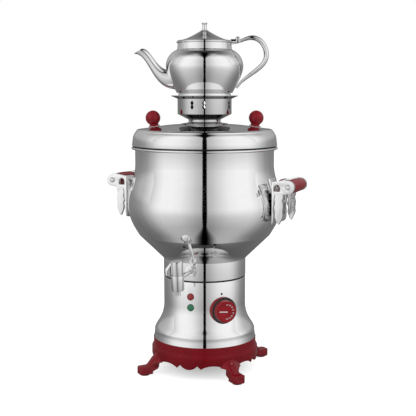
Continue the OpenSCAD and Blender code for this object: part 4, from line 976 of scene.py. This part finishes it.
class SAMOVAR_OT_boiler(SamovarOperator, bpy.types.Operator):
    """Makes the boiler's neck, cone and bowl"""
    bl_idname = "samovar.boiler"
    bl_label = "Boiler"

    def execute(self, context):
        s = self.settings.boiler
        wall = self.settings.finishes.wall
        steel = self.finish["steel"]
        z0, z1 = low("boiler_neck"), top("boiler_neck")
        r = s.neck_radius
        neck = ([(0.0, z0), (r - 0.0008, z0)] + bead(r - 0.0008, z0 + 0.0008, 0.0008, -90, 0, 4)
                + [(r, z1), (r - wall, z1), (r - wall, z0 + 0.0012), (0.0, z0 + 0.0012)])
        # The heater's two ends and the tap's pipe go through the neck
        tools = [plug("leg_cutter", 0.00435, z0 - 0.01, z0 + 0.01, 32, Matrix.Translation((x, 0.04385, 0)))
                 for x in (-0.01952, 0.01952)]
        tools.append(plug("pipe_cutter", 0.00435, 0.06, 0.09, 32, on_wall(0, self.settings.tap.height)))
        neck = cut(lathe("neck_skin", neck, s.segments, False), tools)
        settle(paint(neck, steel), "samovar", "polished_steel", "boiler_neck")
        c0, c1 = low("boiler_cone"), top("boiler_cone")
        cone = [(r, c0), (r + 0.0005, c0 + 0.0002), (0.1200, c1 - 0.0099), (0.1206, c1 - 0.0090),
                (s.foot_radius, c1)]
        shell = lathe("cone_skin", sheet_profile(cone, wall), s.segments)
        settle(paint(shell, steel), "samovar", "polished_steel", "boiler_cone")
        line = bowl_line(s)
        z, half = line[-1][1], s.rim_height / 2
        rim = (bead(s.collar_radius + 0.0004, z - 0.0006, 0.0004, 180, 120, 2) + [(s.rim_radius - half, z)]
               + bead(s.rim_radius - half, z + half, half, -90, 90, 12))
        profile = line[:-1] + rim + [(s.collar_radius - wall, z + 2 * half)] + inner_line(line, wall)[::-1]
        bowl = lathe("bowl_skin", profile, s.segments)
        settle(paint(bowl, steel), "samovar", "polished_steel", "boiler_bowl")
        return {"FINISHED"}


class SAMOVAR_OT_lid(SamovarOperator, bpy.types.Operator):
    """Makes the domed lid and its two ball knobs"""
    bl_idname = "samovar.lid"
    bl_label = "Lid"

    def execute(self, context):
        s = self.settings.lid
        wall = self.settings.finishes.wall
        z = above(low("lid_seal") + 0.0016)
        line = [(0.1300, z(0.0)), (0.1312, z(0.3)), (0.1314, z(0.9)), (0.1301, z(11.8))]
        line += bezier([(0.1301, z(11.84)), (0.1294, z(18.35)), (0.1274, z(21.6)), (0.1244, z(25.4))], 12)[1:]
        line += bezier([(0.1244, z(25.4)), (0.1236, z(27.6)), (0.1220, z(29.3)), (0.1200, z(29.6))], 8)[1:]
        line += bezier([(0.1200, z(29.6)), (0.1000, z(31.6)), (0.0725, z(38.0)), (0.0455, z(38.0))], 20)[1:]
        line += [(0.0265, z(38.0)), (0.0260, z(37.7))]
        under = [p for p in inner_line(line[2:-1], wall, False)[::-1] if p[1] > z(1.2)]
        lip, lip_in = 0.1238, 0.1228
        profile = line + [(0.0260, z(37.0))] + under + [
            (0.1304, z(1.0)), (lip_in, z(1.0)), (lip_in, z(-10.7)), (lip, z(-10.7)), (lip, z(0.0))]
        lid = lathe("lid_skin", profile, 180)
        facing = Matrix.Rotation(self.settings.teapot.facing, 4, "Z")
        seats = [facing @ Matrix.Translation((sign * s.knob_place, 0, z(33.8)))
                 @ Matrix.Rotation(sign * s.knob_lean, 4, "Y") for sign in (-1, 1)]
        cut(lid, [plug("hole_cutter", 0.0026, -0.008, 0.008, 24, seat) for seat in seats])
        settle(paint(lid, self.finish["steel"]), "lid", "polished_steel", "lid_shell")
        r, neck = s.knob_radius, 0.6
        ball_z = 0.98 * r + 0.003
        shape = ([(0.0, 0.0007), (0.79 * r, 0.0007)] + bead(0.76 * r, 0.0013, 0.0006, -60, 60, 5)
                 + bezier([(0.74 * r, 0.0020), (0.62 * r, 0.0023), (0.58 * r, 0.0030),
                           (0.585 * r, 0.0038)], 6)[1:]
                 + bead(0, ball_z, r, 2 - math.degrees(math.acos(neck)), 88, 26) + [(0.0, ball_z + r)])
        for name, seat in zip(("lid_knob_left", "lid_knob_right"), seats):
            knob = lathe(name + "_skin", shape, 64, False, 50, seat)
            settle(paint(knob, self.finish["grip"]), "lid", "red_plastic", name)
        return {"FINISHED"}


# Right half of a vent's outline, in millimetres
VENT_HALF = [(0, -8.2), (1.9, -6.0), (3.1, -3.9), (2.4, -1.6), (1.3, 0), (2.4, 1.7), (3.1, 3.9), (1.9, 6.0),
             (0, 8.2)]


class SAMOVAR_OT_crown(SamovarOperator, bpy.types.Operator):
    """Makes the vented drum and the flared tray that carry the teapot"""
    bl_idname = "samovar.crown"
    bl_label = "Crown"

    def execute(self, context):
        s = self.settings.crown
        wall = self.settings.finishes.wall
        drum, waist, edge, bore, spigot = s.drum_radius, s.waist_radius, s.tray_radius, 0.0244, 0.0254
        z, t = above(low("crown_drum") + 0.0043), above(low("crown_tray"))
        line = ([(0.0419, z(0)), (0.0425, z(0.4)), (0.0424, z(1.0)), (0.0418, z(1.5))]
                + bezier([(0.0400, z(1.9)), (0.0340, z(2.4)), (waist + 0.0006, z(2.8)), (waist, z(5.2))], 10)
                + [(waist, z(8.3)), (waist + 0.0003, z(8.7))]
                + bezier([(drum - 0.0012, z(17.9)), (drum - 0.0003, z(18.3)), (drum, z(18.6)),
                          (drum, z(19.6))], 4)
                + [(drum, t(0))])
        inner = [(drum - wall, t(0)), (drum - wall, z(19.9)), (waist - wall, z(9.1)), (waist - wall, z(1.0)),
                 (bore, z(1.0)), (bore, z(-4.3)), (spigot, z(-4.3)), (spigot, z(0))]
        body = lathe("crown_skin", line + inner, 180)
        outline = [(x / 1000, y / 1000) for x, y in VENT_HALF + [(-x, y) for x, y in VENT_HALF[-2:0:-1]]]
        cutters = []
        for sign in (-1, 1):
            vent = slab("vent_cutter", outline, -0.005, 0.005, 0, QUARTER_Y @ QUARTER_Z)
            phase = s.vent_turn + sign * s.vent_pitch - math.pi / 2
            cutters.append(ring_of(vent, drum, s.vent_pairs, phase, z(34.74), self.finish["steel"]))
        cut(body, cutters, 36)
        # Painted shade: the drum takes the darker drum steel, and its inner faces the near-black inside
        repaint(paint(body, self.finish["drum"]), self.finish["inside"],
                lambda face: face.center.z > z(9) and math.hypot(*face.center.xy) < drum - 0.3 * wall
                and outward(face) < -0.6)
        # Painted shade on the undersides of the waist and the chamfer
        self.paint_shade_below(body, z(8.9), z(18.4))
        settle(body, "crown", "polished_steel", "crown_drum")
        flare = ([(drum - wall, t(0)), (drum + 0.0002, t(0)), (drum + 0.0006, t(0.3)),
                  (edge - 0.0008, t(4.6))]
                 + bead(edge - 0.0007, t(5.3), 0.0007, -50, 120, 8)
                 + [(edge - 0.0015, t(5.4)), (drum + 0.0010, t(1.5)), (drum + 0.0003, t(0.5)),
                    (drum - wall, t(0.5))])
        rim = lathe("tray_skin", flare, 180)
        # Painted shade: the tray takes the darker drum steel, and its underside the dim steel
        self.paint_shade_below(paint(rim, self.finish["drum"]), t(0.1), t(4.5))
        settle(rim, "crown", "polished_steel", "crown_tray")
        return {"FINISHED"}

    def paint_shade_below(self, obj, low_z, high_z):
        """Paints shade on the undersides between two heights: they take the dim steel as painted shade."""
        repaint(obj, self.finish["dim"],
                lambda face: low_z < face.center.z < high_z and face.normal.z < -0.2 and outward(face) > 0)


# Parts of the teapot handle's line in millimetres from the rim, with their steps here and in the CAD
HANDLE_PARTS = (
    (((46, -5.2), (62, -4.8), (72, 5.3), (86, 4.9)), 18, 9),
    (((86, 4.9), (101, 4.2), (110.9, -11), (110.9, -25)), 16, 8),
    (((110.9, -25), (110.9, -46), (86, -55), (66, -73.5)), 24, 12),
    (((66, -73.5), (63, -77), (60, -80.5), (57, -84)), 4, 1),
)
HANDLE_STATIONS = sum(part[2] for part in HANDLE_PARTS)


class SAMOVAR_OT_teapot(SamovarOperator, bpy.types.Operator):
    """Makes the teapot's body, spout and handle"""
    bl_idname = "samovar.teapot"
    bl_label = "Teapot"

    def execute(self, context):
        s = self.settings.teapot
        steel = self.finish["steel"]
        place = Matrix.Rotation(s.facing, 4, "Z")
        z = above(low("teapot_body"))
        line = teapot_line(s)
        neck, bead_r = s.neck_radius, 0.0011
        edge = bead(s.rim_radius - bead_r, z(98.7), bead_r, -70, 0, 4)
        edge += bead(s.rim_radius - bead_r, z(99.2), bead_r, 0, 90, 4)
        inner = [p for p in inner_line(line, s.wall)[::-1] if p[1] > z(10.2)]
        floor = [(0.0490, z(9.9)), (0.0, z(9.9)), (0.0, z(9.0)), (0.0458, z(9.0)), (0.0459, z(8.1)),
                 (0.0480, z(0))]
        outside = line[:-1] + [(neck, z(96.7))] + edge + [(neck - s.wall, z(100.3))]
        body = lathe("teapot_skin", outside + inner + floor, 180, True, 38)
        # The strainer's holes stand in five rows, and every other row is shifted by half a step
        step = 0.0052
        holes = [plug("strainer_cutter", 0.0015, -0.012, 0.012, 12, Matrix.Translation(
            (-0.060, k * step + row % 2 * step / 2, z(31 + row * 4.6))) @ QUARTER_Y)
            for row in range(-2, 3) for k in range(-1, 2)]
        cut(body, holes, 38)
        body.data.transform(place)
        settle(paint(body, steel), "teapot", "polished_steel", "teapot_body")
        settle(paint(self.spout(s, z, place), steel), "teapot", "polished_steel", "teapot_spout")
        settle(paint(self.handle(s, place), steel), "teapot", "polished_steel", "teapot_handle")
        return {"FINISHED"}

    def spout(self, s, z, place):
        last = 40
        upper = bezier([(-0.062, z(50)), (-0.088, z(49.8)), (-0.094, z(87.8)), (-0.112, z(87.8))], last)
        lower = bezier([(-0.050, z(15.5)), (-0.097, z(14.5)), (-0.098, z(80)), (-0.1266, z(78.3))], last)
        sides = bezier([(0.0150,), (0.0084,), (0.0066,), (0.0054,)], last)

        def ring(i, wall):
            a, b = Vector(upper[i]), Vector(lower[i])
            return oval((a + b) / 2, (a - b).normalized(), (a - b).length / 2 - wall, sides[i][0] - wall, 48)

        rings = [ring(i, 0.0) for i in range(last + 1)]
        rings += [ring(last, s.wall * k) for k in (0.25, 0.75)]
        rings += [ring(last - i, s.wall) for i in range(last + 1)]
        rings.append(rings[0])
        spout = cut(loft("spout_skin", rings, 50, caps=False), [teapot_core("root_cutter", s)], 50)
        spout.data.transform(place)
        return spout

    def handle(self, s, place):
        rim = top("teapot_body") + 0.0017
        # The CAD handle counts its stations evenly, so the swell follows the same share of them
        line, shares, done = [], [], 0
        for points, steps, stations in HANDLE_PARTS:
            first = 1 if line else 0
            line += bezier([(x / 1000, rim + dz / 1000) for x, dz in points], steps)[first:]
            shares += [(done + i / steps * stations) / HANDLE_STATIONS for i in range(first, steps + 1)]
            done += stations
        rings = []
        for i, (p, t) in enumerate(zip(line, shares)):
            a, b = Vector(line[max(i - 1, 0)]), Vector(line[min(i + 1, len(line) - 1)])
            d = (b - a).normalized()
            swell = math.sin(math.pi * min(max(t, 0.02), 0.97)) ** 0.45
            deep = (1.1 + 3.5 * swell * min(1, 0.42 + 1.9 * t)) / 1000
            wide = (3.6 + 2.9 * swell) / 1000
            rings.append(oval(p, (d[1], -d[0]), deep, wide, 32))
        handle = loft("handle_skin", rings, 50)
        hinge = hinge_point()
        tools = [teapot_core("handle_root_cutter", s),
                 plug("hinge_cutter", 0.0054, -0.0057, 0.0057, 40, Matrix.Translation(hinge) @ QUARTER_X),
                 plug("bead_cutter", 0.0506, rim - 0.0055, rim + 0.0005, 96)]
        cut(handle, tools, 50)
        outline = bead(0, 0, 0.0026, 180, 0, 12) + [(0.0032, -0.003), (0.0055, -0.0065), (-0.0055, -0.0065),
                                                    (-0.0032, -0.003)]
        ears = [slab("ear", outline, -0.0008, 0.0008, 0.0003,
                     Matrix.Translation((hinge.x, sign * 0.0059, hinge.z)) @ QUARTER_X) for sign in (-1, 1)]
        return joined("handle_skin", [handle] + ears, place, 50)


class SAMOVAR_OT_teapot_lid(SamovarOperator, bpy.types.Operator):
    """Makes the teapot's hinged lid with its tulip finial and thumb ball"""
    bl_idname = "samovar.teapot_lid"
    bl_label = "Teapot lid"

    def execute(self, context):
        s = self.settings.teapot
        place = Matrix.Rotation(s.facing, 4, "Z")
        r0, z0, high = s.rim_radius - 0.0016, top("teapot_body") + 0.0003, 0.0195
        cone = bezier([(r0 - 0.0012, z0 + 0.0013), (0.72 * r0, z0 + 0.0018), (0.4 * r0, z0 + 0.55 * high),
                       (0.005, z0 + high)], 30)
        outside = [(r0 - 0.0004, z0), (r0, z0 + 0.0003), (r0, z0 + 0.0007), (r0 - 0.0004, z0 + 0.0011)] + cone
        lip = s.neck_radius - s.wall - 0.0009
        inside = [(r - 0.0003, z - 0.00085) for r, z in cone if z > z0 + 0.00185 and r < lip - 0.001]
        profile = outside + [(0.0, z0 + high), (0.0, z0 + high - 0.0011)] + inside[::-1] + [
            (lip - 0.001, z0 + 0.0006), (lip - 0.001, z0 - 0.005), (lip, z0 - 0.005), (lip, z0)]
        cap = lathe("teapot_lid_skin", profile, 144, True, 36)
        hinge = hinge_point()
        near, far = r0 - 0.002, hinge.x - 0.0040
        tongue = block("tongue", (far - near, 0.0072, 0.0036), ((near + far) / 2, 0, z0 + 0.0018), 0.0003)
        cap = joined("teapot_lid_skin", [cap, tongue], place, 36)
        # Painted shade: the lid takes the darker drum steel
        settle(paint(cap, self.finish["drum"]), "teapot_lid", "polished_steel", "teapot_lid")
        ball = lathe("thumb_ball_skin", [(0.0013, -0.00462)] + bead(0, 0, 0.0048, -73, 73, 24)
                     + [(0.0013, 0.00462)], 48, True, 60, place @ Matrix.Translation(hinge) @ QUARTER_X)
        settle(paint(ball, self.finish["steel"]), "teapot_lid", "polished_steel", "thumb_ball")
        finial = self.finial(s, place, z0 + high)
        settle(paint(finial, self.finish["steel"]), "teapot_lid", "polished_steel", "teapot_finial")
        return {"FINISHED"}

    def finial(self, s, place, foot):
        """A short stem with a ring of petals."""
        f = top("teapot_finial") - foot
        z = above(foot)
        stem = ([(0.0, foot), (0.0050, foot), (0.0052, z(0.4)), (0.0050, z(1.2))]
                + bezier([(0.0048, z(1.6)), (0.0042, z(2.6)), (0.0039, z(4)), (0.0039, foot + 0.5 * f)], 6)
                + [(0.0042, foot + 0.64 * f), (0.0039, foot + 0.70 * f), (0.0, foot + 0.72 * f)])
        core = lathe("finial_core", stem, 48, False, 50)
        rings = []
        for t in (i / 8 for i in range(9)):
            centre = (0.0026 + 0.0030 * t ** 1.5, foot + (0.62 + 0.37 * t) * f)
            width = 0.0023 * math.sin(math.pi * (0.25 + 0.6 * t)) + 0.0002
            rings.append(oval(centre, (1, 0.3), 0.0009 * (1 - 0.55 * t), width, 12))
        petals = ring_of(loft("petal", rings, 60), 0.0, s.petals, math.radians(12), 0.0, self.finish["steel"])
        return joined("finial_skin", [core, petals], place, 60)


class SAMOVAR_OT_handles(SamovarOperator, bpy.types.Operator):
    """Makes the cast brackets and the crimson grips of the side handles"""
    bl_idname = "samovar.handles"
    bl_label = "Side handles"

    def execute(self, context):
        s = self.settings.handles
        for name in BRACKETS:
            piece = softened(name + "_skin", name, 0.0009, 3, 35.0)
            settle(paint(piece, self.finish["chrome"]), "samovar", "bright_castings", name)
        r, half = s.grip_radius, s.grip_length / 2
        bore, waist = 0.0031, r - 0.0007
        end = [(bore, half), (r - 0.0034, half), (r - 0.0018, half - 0.0005), (r - 0.0009, half - 0.0014),
               (waist, half - 0.0026)]
        barrel = [(waist + 0.0007 * math.cos(math.pi / 2 * k / 8), (half - 0.004) * k / 8)
                  for k in range(-8, 9)]
        shape = [(x, -z) for x, z in end] + barrel + end[::-1]
        for angle, name in ((s.turn, "grip_right"), (s.turn + math.pi, "grip_left")):
            place = (Matrix.Rotation(angle, 4, "Z")
                     @ Matrix.Translation((s.grip_reach, 0, s.grip_height)) @ QUARTER_X)
            grip = lathe(name + "_skin", shape, 72, True, 50, place)
            settle(paint(grip, self.finish["grip"]), "samovar", "red_plastic", name)
        return {"FINISHED"}


# Section of the tap's barrel in millimetres from its middle
BARREL = [(2.8, -30.5), (3.9, -30.5), (4.1, -30.3), (4.1, -22.6), (4.4, -21.8), (9.2, -21.2), (10.4, -20.8),
          (11, -19.6), (11, -3.4), (11.0, 4.8), (10.8, 5.6), (10.2, 6.0), (7.0, 6.0), (7.0, -17.3),
          (2.8, -17.3)]


class SAMOVAR_OT_tap(SamovarOperator, bpy.types.Operator):
    """Makes the tap: flange, pipe, barrel and key with its wing lever"""
    bl_idname = "samovar.tap"
    bl_label = "Tap"

    def execute(self, context):
        s = self.settings.tap
        chrome = self.finish["chrome"]
        place = Matrix.Translation((0, -s.reach, s.height)) @ Matrix.Rotation(s.lean, 4, "X")
        barrel = lathe("barrel_skin", [(r / 1000, z / 1000) for r, z in BARREL], 72, True, 36, place)
        cut(barrel, [plug("port_cutter", 0.0028, 0.1275, 0.1345, 24, on_wall(0, s.height))], 36)
        settle(paint(barrel, chrome), "samovar", "bright_castings", "tap_barrel")
        for name, body, width in (("tap_key", "tap_key", 0.0007), ("tap_flange", "samovar", 0.0005),
                                  ("tap_pipe", "samovar", 0.0002)):
            piece = softened(name + "_skin", name, width, 3, 30.0)
            settle(paint(piece, chrome), body, "bright_castings", name)
        return {"FINISHED"}


# Angle of each number on the knob, in degrees from its right
NUMBERS = {"30": 88, "40": 61, "50": 37, "60": 13, "70": -16, "80": -39, "90": -63, "100": -90}


class SAMOVAR_OT_dial(SamovarOperator, bpy.types.Operator):
    """Makes the dial: bezel, knob with its pointer, and plain numbers"""
    bl_idname = "samovar.dial"
    bl_label = "Dial"

    def execute(self, context):
        s = self.settings.dial
        red = self.finish["dial"]
        place = on_wall(s.turn_from_tap, s.height)
        # The recess inside the bezel's rim is painted black: painted shade for its deep shadow
        inward = place.inverted()
        bezel = paint(softened("bezel_skin", "dial_bezel", 0.0006, 3, 40.0), red)
        repaint(bezel, self.finish["black"],
                lambda face: math.hypot(*(inward @ face.center).xy) < s.radius + 0.0021)
        settle(bezel, "samovar", "red_plastic", "dial_bezel")
        bezel.visible_glossy = False
        r, back, front, bore = s.radius, 0.0803, 0.0930, 0.00302
        shape = ([(bore, back), (r - 0.0006, back), (r, back + 0.0006), (r, front - 0.0014)]
                 + bead(r - 0.0013, front - 0.0013, 0.0013, 10, 80, 5)
                 + [(r - 0.0026, front), (r - 0.0030, front - 0.0002), (0.0, front - 0.0002),
                    (0.0, back + 0.006), (bore, back + 0.006)])
        knob = lathe("knob_skin", shape, 120, True, 40, place)
        h = 0.0010
        x0, x1 = h - 0.79 * r, 0.08 * r - h
        bar = ([(x0, -h), (x1, -h)] + bead(x1, 0, h, -60, 60, 6) + [(x1, h), (x0, h)]
               + bead(x0, 0, h, 120, 240, 6))
        tilt = Matrix.Rotation(math.radians(-6), 4, "Z")
        pointer = slab("pointer", bar, front - 0.0004, front + 0.0007, 0.0003, place @ tilt)
        settle(paint(knob, red), "dial", "red_plastic", "dial_knob")
        knob.visible_glossy = False
        settle(paint(pointer, self.finish["white"]), "dial", "red_plastic")
        if s.show_numbers:
            settle(paint(self.numbers(s, front, place), self.finish["white"]), "dial", "red_plastic")
        z0, z1 = 0.07512, 0.07528
        dot = lathe("index_dot", [(0, z0), (0.0018, z0), (0.0020, 0.0752), (0.0018, z1), (0, z1)], 24, False,
                    50, on_wall(math.radians(43.3), 0.1513))
        settle(paint(dot, self.finish["ink"]), "samovar", "black_rubber")
        return {"FINISHED"}

    def numbers(self, s, front, place):
        """Plain numbers from 30 to 100 round the right half of the knob, upright to somebody who faces it."""
        made = []
        radius = 0.66 * s.radius
        for label, degrees in NUMBERS.items():
            a = math.radians(degrees)
            curve = bpy.data.curves.new("number", "FONT")
            curve.body = label
            curve.size = s.number_size
            curve.align_x = "CENTER"
            curve.align_y = "CENTER"
            curve.extrude = 0.00006
            obj = placed("number", curve)
            bpy.context.view_layer.update()
            depsgraph = bpy.context.evaluated_depsgraph_get()
            mesh = bpy.data.meshes.new_from_object(obj.evaluated_get(depsgraph))
            where = (radius * math.cos(a), radius * math.sin(a), front - 0.0001)
            mesh.transform(place @ Matrix.Translation(where))
            bpy.data.objects.remove(obj)
            made.append(placed("number_" + label, mesh))
        return joined("dial_numbers", made)


class SAMOVAR_OT_lamps(SamovarOperator, bpy.types.Operator):
    """Makes the two domed lamp lenses in their thin rims"""
    bl_idname = "samovar.lamps"
    bl_label = "Lamps"

    def execute(self, context):
        r, back, front, lip = 0.0065, 0.0751, 0.0778, 0.0013
        dome = [((r - 0.0012) * math.cos(a), back + lip + (front - back - lip) * math.sin(a))
                for a in (math.pi / 2 * i / 10 for i in range(10))]
        shape = [(0.0, back), (r - 0.0001, back), (r, back + 0.0003), (r, back + 0.0009),
                 (r - 0.0004, back + 0.0014), (r - 0.0010, back + 0.0014)] + dome + [(0.0, front)]
        for piece, name in (("red_lamp_lens", "red_lens"), ("green_lamp_lens", "green_lens")):
            lens = lathe(piece + "_skin", shape, 48, False, 50, on_wall(0, middle(piece)))
            settle(paint(lens, self.finish[name]), "samovar", name, piece)
        return {"FINISHED"}


PIECES = (SAMOVAR_OT_stage, SAMOVAR_OT_finishes, SAMOVAR_OT_base, SAMOVAR_OT_bell, SAMOVAR_OT_boiler,
          SAMOVAR_OT_lid, SAMOVAR_OT_crown, SAMOVAR_OT_teapot, SAMOVAR_OT_teapot_lid, SAMOVAR_OT_handles,
          SAMOVAR_OT_tap, SAMOVAR_OT_dial, SAMOVAR_OT_lamps)


class SAMOVAR_PT_panel(bpy.types.Panel):
    """Lists the samovar's pieces and sizes"""
    bl_idname = "SAMOVAR_PT_panel"
    bl_label = "Samovar"
    bl_space_type = "VIEW_3D"
    bl_region_type = "UI"
    bl_category = "Samovar"

    def draw(self, context):
        for piece in PIECES:
            self.layout.operator(piece.bl_idname)
        for name, group in GROUPS.items():
            column = self.layout.box().column()
            column.label(text=name.capitalize())
            for key in group.__annotations__:
                column.prop(getattr(context.scene.samovar, name), key)


CLASSES = (*GROUPS.values(), SamovarSettings, *PIECES, SAMOVAR_PT_panel)


def register():
    for c in CLASSES:
        bpy.utils.register_class(c)
    bpy.types.Scene.samovar = PointerProperty(type=SamovarSettings)


def unregister():
    del bpy.types.Scene.samovar
    for c in reversed(CLASSES):
        bpy.utils.unregister_class(c)


def main():
    register()
    for piece in PIECES:
        group, name = piece.bl_idname.split(".")
        getattr(getattr(bpy.ops, group), name)()
    bpy.context.view_layer.update()


if __name__ == "__main__":
    main()
